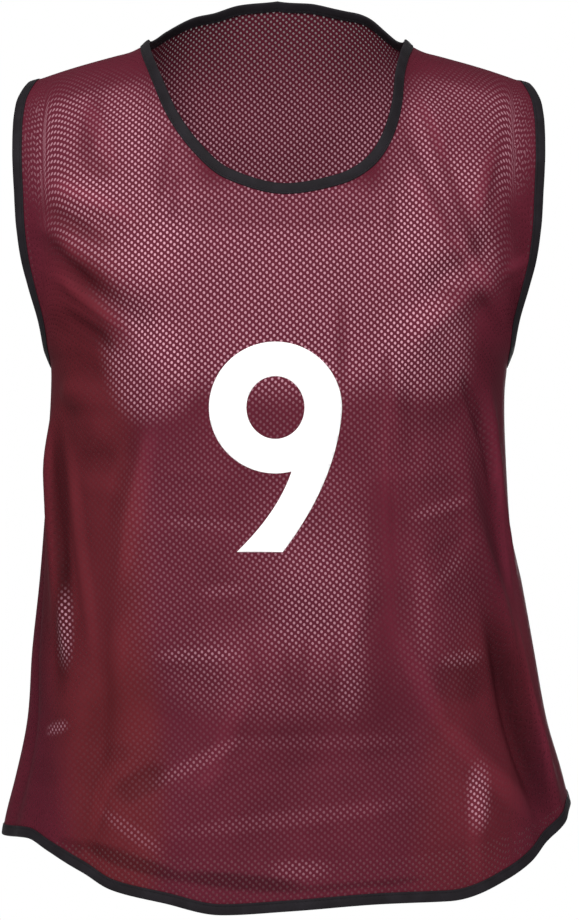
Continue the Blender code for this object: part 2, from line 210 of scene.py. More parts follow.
# Finer creases, in the looks alone
CREASES = rows_of(
    Fold,
    (-45, -101, -27, -132, 8, 3), (-48, -119, -36, -146, 7, -2.7), (-53, -137, -40, -184, 7, -3.9),
    (-53, -168, -36, -220, 7, 4.2), (-58, -198, -42, -231, 9, -4.5), (-33, -38, -29, -93, 8, 1.6),
    (-25, -36, -22, -84, 9, -1.3), (-18, -63, -18, -134, 6, 1.2), (-24, -118, -20, -63, 6, -0.9),
    (22, -33, 30, -91, 6, 2.4), (22, -94, 35, -149, 7, 2.5), (33, -142, 55, -194, 7, 3.6),
    (38, -76, 39, -135, 7, 3), (41, -78, 53, -156, 8, -2.5), (45, -187, 69, -220, 5, -4.2),
    (50, -177, 59, -161, 5, 2.7), (60, -173, 69, -217, 5, -3.3), (-73, -246, -45, -246, 7, -1.8),
    (-71, -261, -45, -262, 5.5, 1.7), (-70, -277, -43, -277, 6.5, -2.1),
    (-63, -295, -40, -297, 6, 1), (-59, -315, -40, -310, 7, -1.7), (-56, -334, -40, -336, 6, 1.1),
    (-31, -263, -40, -411, 8, 2.6), (-36, -293, -44, -366, 8, -1.8),
    (-74, -287, -56, -427, 6.5, -3), (-63, -298, -44, -479, 7, 2.4),
    (-63, -390, -59, -489, 7, -2.2), (28, -243, 25, -456, 8, 2.2), (34, -240, 36, -329, 10, -1.8),
    (27, -433, 37, -516, 9, 2.6), (34, -506, 62, -597, 10, 3.4), (55, -412, 62, -589, 11, -4.2),
    (67, -291, 70, -430, 5.5, 2.6), (68, -418, 69, -570, 6.5, 3.2), (51, -244, 63, -307, 5, -2.4),
    (59, -265, 67, -348, 5, -2), (55, -336, 55, -439, 11, -2.4), (34, -473, 52, -488, 13, -3),
    (-5, -429, 1, -489, 5.5, 1.3), (20, -415, 11, -488, 5.5, 1.3), (23, -415, 15, -469, 6, -1.3),
    (-8, -481, -19, -572, 9, 1.8), (-38, -572, -26, -539, 9, -3.2),
    (-29, -466, -11, -494, 14, -1.8), (-39, -545, -42, -590, 6, 1.7), (42, -563, 37, -615, 6, 1.2),
    (-30, -321, -7, -329, 5.5, 0.9), (17, -330, 57, -320, 5.5, 1), (-32, -356, -6, -366, 5.5, -0.9),
    (33, -360, 55, -344, 5.5, 1.1), (33, -393, 55, -367, 6, -1.2), (-26, -572, -2, -528, 6.5, 1.2),
    (-19, -596, 27, -572, 7, 1.1), (-8, -548, 31, -529, 7, -1.1), (-44, -487, -51, -601, 9, -1.6),
    (136, -176, 154, -300, 8, 3.2), (124, -206, 146, -316, 7, -2.9),
    (-138, -190, -156, -304, 8, 3.1), (-122, -214, -144, -322, 7, -2.9),
    (158, -330, -172, -344, 11, 2.2), (164, -430, -166, -446, 11, -2.3),
    (152, -520, 176, -560, 9, 2.9), (-176, -540, -150, -590, 9, 2.7),
    (126, -420, 132, -600, 8, 3.6), (-126, -400, -128, -610, 8, 3.6), (102, -330, 98, -520, 7, 3.2),
    (-100, -340, -104, -540, 7, 3.2), (140, -60, 156, -150, 9, 2.2), (-139, -50, -158, -160, 9, 2),
    (128, -120, 150, -176, 8, 3), (-127, -116, -151, -182, 8, 2.8), (132, -148, 158, -224, 8, -3),
    (-134, -152, -160, -216, 8, -2.8), (166, -240, 158, -420, 10, 2.6),
    (-170, -300, -160, -520, 10, 2.8), (144, -460, 128, -640, 9, -3.4),
    (-148, -480, -136, -640, 9, -3.2), (178, -470, 170, -640, 10, 3),
    (-152, -250, -140, -420, 8, -2.4), (150, -360, 168, -400, 9, 1.8),
    (-140, -330, -170, -372, 10, 1.6),
)

# Where pale light is painted into the holes of the front, and of the back
FRONT_GLOW = rows_of(
    SoftPatch,
    (5, -185, 128.5, 77.7, 0, 0.58, 0.2), (-137, -72, 49.3, 49.3, 0, 0.45, 0.4),
    (-118, -138, 49.3, 34.4, -25, 0.5, 0.4), (-91, -88, 25.4, 49.3, 24, 0.36, 0.4),
    (142, -66, 44.8, 46.3, 0, 0.41, 0.4), (126, -139, 41.8, 52.3, 12, 0.47, 0.4),
    (99, -87, 19.4, 52.3, -8, 0.27, 0.4), (-97, -243, 29.9, 37.4, 15, 0.5, 0.3),
    (109, -231, 34.4, 34.4, 0, 0.47, 0.3), (21, -388, 49.3, 62.7, 0, 0.2, 0.35),
    (31, -411, 32.9, 43.3, 0, 0.31, 0.6), (-2, -472, 71.7, 32.9, 0, 0.18, 0.4),
    (53, -466, 9, 37.4, 0, 0.18, 0.4), (-66, -388, 44.8, 82.2, 0, 0.11, 0.5),
    (-60, -459, 5.2, 28.4, 92, 0.2, 0.35), (-41, -411, 4.5, 15, 96, 0.16, 0.35),
    (-55, -361, 4.5, 26.2, 85, 0.13, 0.35), (46, -296, 97.1, 37.4, 0, 0.09, 0.5),
    (122, -396, 29.9, 82.2, 0, 0.08, 0.5), (121, -350, 4.5, 21, 107, 0.16, 0.35),
    (108, -426, 6, 37.4, 2, 0.09, 0.35), (126, -399, 4.5, 17.4, 137, 0.11, 0.35),
    (137, -463, 5.2, 15, 96, 0.22, 0.35), (9, -567, 141.9, 55.3, 0, 0.05, 0.5),
    (-59, -538, 5.2, 33.7, 118, 0.18, 0.35), (31, -524, 5.2, 59.8, 90, 0.07, 0.35),
    (9, -581, 6, 82.7, 97, 0.09, 0.35), (-109, -592, 5.2, 24.6, 57, 0.16, 0.35),
    (16, -619, 19.4, 6.7, 0, 0.2, 0.5), (150, -566, 7.5, 20.9, 0, 0.54, 0.5),
    (-162, -441, 5.2, 23.9, 0, 0.54, 0.5), (-168, -517, 3.7, 8.4, 117, 0.41, 0.35),
    (1, -418, 149.4, 224.1, 0, 0.03, 0.4),
)
BACK_GLOW = rows_of(
    SoftPatch,
    (0, -120, 130, 120, 0, 0.55), (-112, -60, 58, 66, 18, 0.4), (112, -60, 58, 66, -18, 0.42),
    (-20, -420, 84, 120, 0, 0.24, 0.5), (60, -520, 60, 60, -10, 0.2, 0.5),
    (0, -300, 120, 80, 0, 0.16, 0.5),
)
# Where the cloth is browner, and where soft shade is painted on it
WARM = rows_of(
    SoftPatch,
    (-140, -400, 40, 230, 3, 0.75), (-120, -560, 34, 100, 0, 0.75), (150, -540, 40, 110, -10, 0.45),
    (-128, -140, 40, 60, 20, 0.25),
)
SHADE = rows_of(
    SoftPatch,
    (-166, -356, 6.7, 63.6, 3, 0.4, 0.3), (-163, -439, 6.7, 48.6, -2, 0.28, 0.35),
    (-182, -414, 6.7, 82.2, -2, 0.18, 0.4), (182, -502, 12.7, 85.8, 15, 0.3, 0.3),
    (187, -512, 9, 62.4, 17, 0.17, 0.3), (138, -478, 23.9, 16.4, 0, 0.21, 0.35),
    (-104, -556, 20.9, 9.7, 28, 0.22, 0.35), (-121, -533, 9, 7.5, 0, 0.12, 0.4),
    (-66, -481, 32.9, 22.4, 0, 0.1, 0.4), (31, -500, 67.2, 25.4, 0, 0.09, 0.4),
    (-162, -161, 6, 32.3, 50, 0.19, 0.4), (-158, -134, 6, 22.8, 58, 0.09, 0.4),
    (-149, -214, 9, 25.8, 60, 0.2, 0.35), (-137, -268, 41.8, 40.3, 0, 0.11, 0.3),
    (162, -204, 5.2, 18.2, 35, 0.12, 0.35), (181, -195, 6.7, 19, -10, 0.18, 0.35),
    (177, -141, 10.5, 14.9, 0, 0.1, 0.4), (114, -262, 25.4, 31.4, 0, 0.12, 0.35),
    (149, -277, 4.5, 31.2, 17, 0.22, 0.35), (159, -324, 4.5, 25.6, 15, 0.13, 0.35),
    (139, -374, 25.4, 67.2, 8, 0.07, 0.35), (158, -382, 9.7, 37.8, 9, 0.14, 0.35),
    (-116, -329, 6, 38.6, -15, 0.09, 0.35), (-145, -247, 19.4, 6, 0, 0.06, 0.4),
    (-143, -277, 19.4, 6, 0, 0.09, 0.4), (-137, -314, 16.4, 9, 0, 0.11, 0.4),
    (24, -423, 37.4, 19.4, 0, 0.07, 0.4), (63, -441, 3.7, 27.2, -21, 0.04, 0.5),
    (-110, -614, 6, 37.6, 73, 0.37, 0.3), (-29, -628, 6, 45, 85, 0.38, 0.3),
    (61, -630, 3, 44.9, 94, 0.22, 0.3), (-156, -604, 4.5, 9.7, 67, 0.22, 0.3),
    (-179, -551, 12, 10.5, 0, 0.09, 0.4), (-166, -458, 19.4, 149.4, -4, 0.09, 0.35),
    (0, -129, 74.7, 14.9, 0, 0.05, 0.4),
)

# Where painted light lifts the cloth, and where no painted pale light shows in the holes
LIGHT = rows_of(
    SoftPatch,
    (-142, -117, 6, 37.5, 67, 0.2, 0.35), (-136, -66, 6.7, 27.8, 24, 0.16, 0.35),
    (-144, -193, 4.5, 39.7, 53, 0.18, 0.35), (148, -168, 5.2, 29.7, 39, 0.16, 0.35),
    (155, -106, 4.5, 27.7, -14, 0.18, 0.35), (182, -164, 4.5, 9.7, 113, 0.25, 0.35),
    (84, -348, 6, 100.1, 0, 0.12, 0.3), (106, -479, 6.7, 34.8, 28, 0.14, 0.3),
    (160, -550, 7.5, 54.9, 44, 0.22, 0.35), (-106, -350, 6, 59.5, -12, 0.14, 0.35),
    (173, -358, 3, 66.4, 8, 0.22, 0.35), (195, -480, 4.5, 87.9, 10, 0.2, 0.35),
    (-147, -393, 4.5, 86.6, 7, 0.12, 0.35), (-134, -569, 4.5, 22.1, -12, 0.22, 0.35),
    (-41, -526, 6.7, 44.5, -23, 0.12, 0.35), (-120, -456, 6.7, 22.4, -2, 0.12, 0.35),
    (148, -592, 6, 29.9, 0, 0.14, 0.4), (116, -62, 3.7, 28.9, 21, 0.14, 0.35),
    (112, -122, 5.2, 31.3, 33, 0.12, 0.35), (181, -424, 9, 42, 10, 0.2, 0.4),
    (163, -208, 15, 24, 0, 0.18, 0.4),
)
GLOW_GAPS = rows_of(
    SoftPatch,
    (-143, -60, 7.5, 25.8, -10, 0.48, 0.35), (-137, -93, 6.7, 12, 60, 0.4, 0.35),
    (-85, -93, 3.7, 29.2, -10, 0.36, 0.35), (-78, -115, 3.7, 18.8, -7, 0.32, 0.35),
    (130, -104, 4.5, 68.3, 20, 0.52, 0.35), (119, -122, 4.5, 61.2, 24, 0.44, 0.35),
    (160, -94, 5.2, 31.7, -19, 0.48, 0.35), (162, -117, 5.2, 37.7, 8, 0.36, 0.35),
    (84, -130, 3.7, 18.7, -2, 0.36, 0.35), (-154, -136, 6.7, 30.1, 60, 0.56, 0.35),
    (-155, -162, 6.7, 37.7, 51, 0.68, 0.35), (-142, -206, 12, 36.3, 55, 0.68, 0.35),
    (47, -226, 4.5, 32.1, 1, 0.48, 0.35), (81, -248, 4.5, 15, 3, 0.48, 0.35),
    (-76, -263, 5.2, 6, -7, 0.4, 0.35), (0, -128, 82.2, 12, 0, 0.28, 0.4),
    (144, -190, 6, 23.3, 83, 0.4, 0.35), (164, -206, 9, 20.3, 36, 0.64, 0.35),
    (183, -162, 16.4, 37.4, 0, 0.64, 0.4), (-145, -20, 52.3, 12, 12, 0.64, 0.4),
    (140, -14, 52.3, 12, -14, 0.6, 0.4), (77, -411, 11.2, 89.6, 0, 0.48, 0.2),
    (18, -469, 3.7, 24, -5, 0.4, 0.35), (8, -474, 3.7, 18.8, 7, 0.4, 0.35),
    (43, -470, 3.7, 22.5, -4, 0.36, 0.35), (-17, -467, 3.7, 19.2, 13, 0.36, 0.35),
)


def linear(red: int, green: int, blue: int) -> tuple[float, float, float, float]:
    """Turns a screen colour, 0 to 255, into the linear one that shaders take."""

    def channel(value: int) -> float:
        """One channel."""
        share = value / 255
        return share / 12.92 if share <= 0.04045 else ((share + 0.055) / 1.055) ** 2.4

    return channel(red), channel(green), channel(blue), 1.0


def smooth_through(at: Any, knots: Any, values: Any) -> np.ndarray:
    """Runs a curve through the rows of a table, without overshoot between them.

    Args:
        at: Where the curve is wanted.
        knots: The rows' places, rising.
        values: The rows' values.

    Returns:
        The curve's values.
    """
    at, knots, values = (np.asarray(item, float) for item in (at, knots, values))
    slopes = np.diff(values) / np.diff(knots)
    tangents = np.concatenate([slopes[:1], np.zeros(len(knots) - 2), slopes[-1:]])
    same_way = slopes[:-1] * slopes[1:] > 0
    with np.errstate(divide="ignore", invalid="ignore"):
        means = 2 * slopes[:-1] * slopes[1:] / (slopes[:-1] + slopes[1:])
    tangents[1:-1] = np.where(same_way, means, 0)
    index = np.clip(np.searchsorted(knots, at) - 1, 0, len(knots) - 2)
    step = knots[index + 1] - knots[index]
    t = np.clip((at - knots[index]) / step, 0, 1)
    return (
        values[index] * (1 + 2 * t) * (1 - t) ** 2
        + tangents[index] * step * t * (1 - t) ** 2
        + values[index + 1] * t**2 * (3 - 2 * t)
        + tangents[index + 1] * step * t**2 * (t - 1)
    )


def smoothstep(t: Any) -> np.ndarray:
    """Rises from 0 to 1 with level ends."""
    t = np.clip(t, 0, 1)
    return t * t * (3 - 2 * t)


def unit(vectors: np.ndarray) -> np.ndarray:
    """The same directions at length 1."""
    return vectors / np.linalg.norm(vectors, axis=-1, keepdims=True)


def travelled_along(points: np.ndarray) -> np.ndarray:
    """Length travelled along a line of points, from its start."""
    return np.concatenate([[0], np.cumsum(np.linalg.norm(np.diff(points, axis=0), axis=1))])


def soft_sum(patches: tuple[SoftPatch, ...], across: np.ndarray, height: np.ndarray) -> np.ndarray:
    """Joins soft patches, each fading out from its own middle.

    Args:
        patches: The patches to join.
        across: Places across, in millimetres.
        height: Heights, in millimetres.

    Returns:
        The joined amount at each place, 0 to 1.
    """
    left_over = np.ones(np.shape(across))
    for patch in patches:
        lean = radians(patch.lean)
        right, up = across - patch.across, height - patch.height
        u = (right * cos(lean) + up * sin(lean)) / patch.half_width
        v = (up * cos(lean) - right * sin(lean)) / patch.half_height
        squared = np.abs(u) ** PATCH_SQUARENESS + np.abs(v) ** PATCH_SQUARENESS
        away = squared ** (1 / PATCH_SQUARENESS)
        inside = smoothstep((1 + patch.softness - away) / (2 * patch.softness))
        left_over = left_over * (1 - patch.amount * inside)
    return 1 - left_over


@dataclass(frozen=True)
class TorsoForm:
    """The bib's filled-out form, in millimetres, with the cloth's folds on it.

    A place on it is an angle across (0 at a panel's centre, a quarter turn at the side seams) and a
    rise (0 at the chest line, a quarter turn at the shoulder seams, below 0 towards the hem).
    """

    chest_line: float = -235.0
    rise_scale: float = 250.0
    across_power: float = 2.4
    shoulder_power: float = 2.2
    neck_lean: float = -1.5
    girth_radius: float = 190.0
    fold_end_share: float = 0.3
    calm_share: float = 0.15
    calm_reach: float = 50.0
    hem_calm_share: float = 0.45
    hem_calm_reach: float = 80.0
    fold_reach: float = 3.2
    height_passes: int = 4
    probe: float = 2e-3
    folds: tuple[Fold, ...] = FOLDS + CREASES

    def section(self, name: str, height: np.ndarray) -> np.ndarray:
        """One column of the section table at these heights."""
        column = [getattr(level, name) for level in SECTIONS]
        return smooth_through(height, [level.height for level in SECTIONS], column)

    def top_height(self, across: np.ndarray) -> np.ndarray:
        """Height of the shoulder line, and of the neck's root between the shoulders."""
        reach = np.abs(across - self.neck_lean)
        return smooth_through(reach, [p.reach for p in TOP_LINE], [p.height for p in TOP_LINE])

    def base(self, face: Face, angle: np.ndarray, rise: np.ndarray) -> np.ndarray:
        """The form's points before folds."""
        angle, rise = np.asarray(angle, float), np.asarray(rise, float)
        climb = np.sin(np.clip(rise, 0, QUARTER))
        height = self.chest_line + self.rise_scale * np.where(rise < 0, rise, climb)
        for _ in range(self.height_passes):
            across = self.section("half_width", height) * np.sin(angle)
            across = across + self.section("shift", height)
            reach_up = self.top_height(across) - self.chest_line
            height = self.chest_line + np.where(rise < 0, self.rise_scale * rise, reach_up * climb)
        column = "front_depth" if face is Face.FRONT else "back_depth"
        side, top = self.across_power, self.shoulder_power
        round_side = (1 - np.abs(np.sin(angle)) ** side).clip(0) ** (1 / side)
        round_top = (1 - climb**top).clip(0) ** (1 / top)
        depth = face.value * self.section(column, height) * round_side * round_top
        return np.stack([across, depth, height], axis=-1)

    def directions(
        self, face: Face, angle: np.ndarray, rise: np.ndarray
    ) -> tuple[np.ndarray, np.ndarray, np.ndarray]:
        """Steps along the angle and along the rise, and the unit direction out of the form.

        Args:
            face: The panel.
            angle: Angles across, in radians.
            rise: Rises, in radians.

        Returns:
            The step per radian across, the step per radian up, and the way out.
        """
        step = self.probe
        low_angle = np.clip(angle - step, -QUARTER, QUARTER)
        high_angle = np.clip(angle + step, -QUARTER, QUARTER)
        low_rise, high_rise = rise - step, np.minimum(rise + step, QUARTER)
        along = self.base(face, high_angle, rise) - self.base(face, low_angle, rise)
        along = along / (high_angle - low_angle)[..., None]
        up = self.base(face, angle, high_rise) - self.base(face, angle, low_rise)
        up = up / (high_rise - low_rise)[..., None]
        return along, up, unit(np.cross(along, up) * -face.value)

    def hem_height(self, face: Face, angle: np.ndarray) -> np.ndarray:
        """Height of the finished hem at these angles."""
        column = [p.front if face is Face.FRONT else p.back for p in HEM]
        return smooth_through(np.degrees(angle), [p.turn for p in HEM], column)

    def calm(self, face: Face, angle: np.ndarray, point: np.ndarray) -> np.ndarray:
        """Share of a fold's height that is left near an armhole or the hem, where tape holds it."""
        across, height = point[..., 0], point[..., 2]
        heights, turns = zip(*((p.height, p.turn) for p in reversed(ARMHOLE)))
        edge = np.sin(np.radians(smooth_through(height, heights, turns)))
        beside = (self.section("half_width", height) * edge - np.abs(across)).clip(0)
        below = (heights[0] - height).clip(0)
        free = smoothstep(np.hypot(beside, below) / self.calm_reach)
        at_armhole = self.calm_share + (1 - self.calm_share) * free
        raised = smoothstep((height - self.hem_height(face, angle)) / self.hem_calm_reach)
        return at_armhole * (self.hem_calm_share + (1 - self.hem_calm_share) * raised)

    def fold_out(self, face: Face, angle: np.ndarray, point: np.ndarray) -> np.ndarray:
        """How far the folds and creases push the cloth out.

        Args:
            face: The panel.
            angle: Angles across, in radians.
            point: The form's points there.

        Returns:
            Distances out of the form.
        """
        turn = angle if face is Face.FRONT else np.where(angle < 0, -pi - angle, pi - angle)
        height = point[..., 2]
        pushed = np.zeros(np.shape(turn))
        for fold in self.folds:
            start = np.array([radians(fold.start_turn) * self.girth_radius, fold.start_height])
            end_turn = fold.end_turn + (360 if fold.start_turn - fold.end_turn > 180 else 0)
            run = np.array([radians(end_turn) * self.girth_radius, fold.end_height]) - start
            length = np.linalg.norm(run)
            run = run / length
            for wrapped in (turn, turn - 2 * pi, turn + 2 * pi):
                right, up = wrapped * self.girth_radius - start[0], height - start[1]
                along = (right * run[0] + up * run[1]) / length
                aside = up * run[0] - right * run[1]
                beside = np.abs(aside) < self.fold_reach * fold.half_width
                near = (along > 0) & (along < 1) & beside
                if near.any():
                    share = np.minimum(along[near], 1 - along[near]) / self.fold_end_share
                    crest = np.exp(-((aside[near] / fold.half_width) ** 2))
                    pushed[near] += fold.out * smoothstep(share) * crest
        return pushed * self.calm(face, angle, point)

    def cloth(self, face: Face, angle: np.ndarray, rise: np.ndarray) -> np.ndarray:
        """The middle of the cloth's wall, with its folds."""
        point = self.base(face, angle, rise)
        out = self.directions(face, angle, rise)[2]
        return point + out * self.fold_out(face, angle, point)[..., None]

    def places(self, across: np.ndarray, height: np.ndarray) -> np.ndarray:
        """The angle and rise of places given by their front view."""
        across, height = np.asarray(across, float), np.asarray(height, float)
        sine = (across - self.section("shift", height)) / self.section("half_width", height)
        above = height - self.chest_line
        climb = np.clip(above / (self.top_height(across) - self.chest_line), -1, 1)
        rise = np.where(height < self.chest_line, above / self.rise_scale, np.arcsin(climb))
        return np.stack([np.arcsin(np.clip(sine, -1, 1)), rise], axis=-1)

    def cut_places(self, face: Face, places: np.ndarray, steps: int = 24) -> np.ndarray:
        """Where each place lay in the flat cut: its way along the cloth from centre and chest line.

        Args:
            face: The panel.
            places: Angles and rises.
            steps: Samples along each way.

        Returns:
            Ways across and up, in metres.
        """
        point = self.base(face, places[..., 0], places[..., 1])
        across, height = point[..., 0], point[..., 2]
        middle = self.section("shift", height)
        shares = np.linspace(0, 1, steps + 1)
        level = [self.places(middle + (across - middle) * s, height) for s in shares]
        plumb = []
        for share in shares:
            rise = places[..., 1] * share
            climb = np.sin(rise.clip(0))
            top = self.top_height(across) - self.chest_line
            here = self.chest_line + np.where(rise < 0, self.rise_scale * rise, top * climb)
            sine = (across - self.section("shift", here)) / self.section("half_width", here)
            plumb.append(np.stack([np.arcsin(np.clip(sine, -1, 1)), rise], axis=-1))
        ways = []
        for line, sign in ((level, np.sign(across - middle)), (plumb, np.sign(places[..., 1]))):
            line = np.stack(line)
            points = self.base(face, line[..., 0], line[..., 1])
            ways.append(np.linalg.norm(np.diff(points, axis=0), axis=-1).sum(0) * sign)
        return np.stack(ways, axis=-1) * MM


@dataclass
class BoundLine:
    """One bound edge of one panel: its finished line, and the line where the plain cloth starts."""

    form: TorsoForm
    face: Face
    finished: np.ndarray
    toward: dict[str, tuple[float, float]]
    panel_start: float = 9.3
    raw_edge: float = 3.0
    seam_gap: float = 0.3
    passes: int = 6
    slide_turn: float = 8.0
    slide_samples: int = 120

    def __post_init__(self) -> None:
        """Works out both lines and the tape's directions along them."""
        self.start = self.move_in(self.panel_start)
        lift = np.array([0, self.face.value * self.seam_gap / 2, 0])
        self.points = self.form.cloth(self.face, *self.finished.T) + lift
        self.start_points = self.form.cloth(self.face, *self.start.T) + lift
        self.inward = unit(self.start_points - self.points)
        out = np.cross(np.gradient(self.points + self.start_points, axis=0), self.inward)
        form_out = self.form.directions(self.face, *self.start.T)[2]
        out *= np.sign((out * form_out).sum(1, keepdims=True))
        self.out = unit(out)
        self.raw_points = self.points + self.inward * self.raw_edge
        inset = (self.start - self.finished) * self.raw_edge / self.panel_start
        self.raw_places = self.finished + inset

    def move_in(self, distance: float) -> np.ndarray:
        """Moves the edge into the cloth. Its two ends slide along their seams.

        Args:
            distance: How far, in millimetres.

        Returns:
            The moved places.
        """
        places = self.finished
        along, up, out = self.form.directions(self.face, *places.T)
        points = self.form.base(self.face, *places.T)
        inward = unit(np.cross(out, np.gradient(points, axis=0)))
        middle = len(places) // 2
        hint = along[middle] * self.toward["middle"][0] + up[middle] * self.toward["middle"][1]
        inward *= np.sign(inward[middle] @ hint)
        for _ in range(2 * DETAIL * DETAIL):
            inward[1:-1] = unit((inward[:-2] + 2 * inward[1:-1] + inward[2:]) / 4)
        moved = places.copy()
        for _ in range(self.passes):
            missing = points + inward * distance - self.form.base(self.face, *moved.T)
            here_along, here_up, _ = self.form.directions(self.face, *moved.T)
            for i in range(1, len(places) - 1):
                steps = np.stack([here_along[i], here_up[i]], axis=1)
                moved[i] += np.linalg.lstsq(steps, missing[i], rcond=None)[0]
        slides = np.linspace(0, radians(self.slide_turn), self.slide_samples)
        for i, end in ((0, "first"), (-1, "last")):
            way = np.array(self.toward[end])
            tried = places[i] + way * slides[:, None]
            reached = np.linalg.norm(self.form.base(self.face, *tried.T) - points[i], axis=1)
            moved[i] = places[i] + way * np.interp(distance, reached, slides)
        return moved


@dataclass
class PanelCut:
    """Front or back as it is cut: its four bound lines and the grid of cloth between them."""

    form: TorsoForm
    face: Face
    side_cells: int = 17 * DETAIL
    armhole_cells: int = 18 * DETAIL
    shoulder_cells: int = 5 * DETAIL
    across_cells: int = 36 * DETAIL
    edge_samples: int = 800
    armhole_samples: int = 900

    def __post_init__(self) -> None:
        """Works out the bound lines."""
        neck_ways = {"middle": (0, -1), "first": (-1, 0), "last": (1, 0)}
        hem_ways = {"middle": (0, 1), "first": (0, 1), "last": (0, 1)}
        self.neck = BoundLine(self.form, self.face, self.neck_edge(), neck_ways)
        self.hem = BoundLine(self.form, self.face, self.hem_edge(), hem_ways)
        self.armholes = {
            side: BoundLine(
                self.form,
                self.face,
                self.armhole_edge(side),
                {"middle": (-side.value, 0), "first": (0, -1), "last": (-side.value, 0)},
            )
            for side in Side
        }

    def evenly(self, places: np.ndarray, count: int) -> np.ndarray:
        """Places spaced evenly, by length on the form, along a finely sampled edge."""
        travelled = travelled_along(self.form.base(self.face, *places.T))
        wanted = np.linspace(0, travelled[-1], count + 1)
        return np.stack([np.interp(wanted, travelled, places[:, k]) for k in (0, 1)], axis=-1)

    def neck_edge(self) -> np.ndarray:
        """Finished neck edge from one shoulder seam to the other."""
        table = FRONT_NECK if self.face is Face.FRONT else BACK_NECK
        across, level = (np.array(column, float) for column in zip(*table))
        chord = np.concatenate([[0], np.cumsum(np.hypot(np.diff(across), np.diff(level)))])
        fine = np.linspace(0, chord[-1], self.edge_samples)
        across, level = smooth_through(fine, chord, across), smooth_through(fine, chord, level)
        if self.face is Face.BACK:
            reach_up = self.form.top_height(across) - self.form.chest_line
            level = self.form.chest_line + reach_up * np.sin(np.radians(level))
        places = self.form.places(across, level)
        places[[0, -1], 1] = QUARTER
        return self.evenly(places, self.across_cells)

    def armhole_edge(self, side: Side) -> np.ndarray:
        """Finished armhole edge from the side seam up to the shoulder seam."""
        turn = np.linspace(90, ARMHOLE[0].turn, self.armhole_samples)
        height = smooth_through(turn, [p.turn for p in ARMHOLE], [p.height for p in ARMHOLE])
        reach = self.form.section("half_width", height) * np.sin(np.radians(turn))
        places = self.form.places(side.value * reach, height)
        places[:, 0] = side.value * np.radians(turn)
        places[-1, 1] = QUARTER
        return self.evenly(places, self.armhole_cells)

    def hem_edge(self) -> np.ndarray:
        """Finished hem from one side seam to the other."""
        angle = np.linspace(-QUARTER, QUARTER, self.across_cells + 1)
        form = self.form
        rise = (form.hem_height(self.face, angle) - form.chest_line) / form.rise_scale
        return np.stack([angle, rise], axis=-1)

    def side_line(self, side: Side) -> np.ndarray:
        """Side seam, armhole and shoulder seam, from the hem up to the neck, as places."""
        armhole = self.armholes[side].start
        end = 0 if side is Side.RIGHT else -1
        rises = np.linspace(self.hem.start[end][1], armhole[0, 1], self.side_cells + 1)[:-1]
        seam = np.stack([np.full(self.side_cells, side.value * QUARTER), rises], axis=-1)
        steps = np.linspace(0, 1, self.shoulder_cells + 1)[1:, None]
        shoulder = armhole[-1] + (self.neck.start[end] - armhole[-1]) * steps
        return np.concatenate([seam, armhole, shoulder])

    def places(self) -> np.ndarray:
        """The grid of places inside the four lines, blended from them."""
        bottom, top = self.hem.start[:, None], self.neck.start[:, None]
        right, left = self.side_line(Side.RIGHT)[None], self.side_line(Side.LEFT)[None]
        u = np.linspace(0, 1, bottom.shape[0])[:, None, None]
        v = np.linspace(0, 1, right.shape[1])[None, :, None]
        ruled = (1 - v) * bottom + v * top
        return ruled + (1 - u) ** 3 * (right - ruled[:1]) + u**3 * (left - ruled[-1:])

    def points(self, places: np.ndarray) -> np.ndarray:
        """Places as points, with the seam gap shared between the panels."""
        lift = np.array([0, self.face.value * self.neck.seam_gap / 2, 0])
        return self.form.cloth(self.face, places[..., 0], places[..., 1]) + lift

    def seam_places(self, side: Side, count: int) -> dict[str, np.ndarray]:
        """The side seam and the shoulder seam, from tape to tape, as places."""
        end = 0 if side is Side.RIGHT else -1
        low, high = self.armholes[side].raw_places[[0, -1]]
        hem, neck = self.hem.raw_places[end], self.neck.raw_places[end]
        shares = np.linspace(0, 1, count)[:, None]
        return {"side": hem + (low - hem) * shares, "shoulder": high + (neck - high) * shares}


class Relief(NamedTuple):
    """How strongly a surface's bumps show, and their height in metres."""

    strength: float
    distance: float


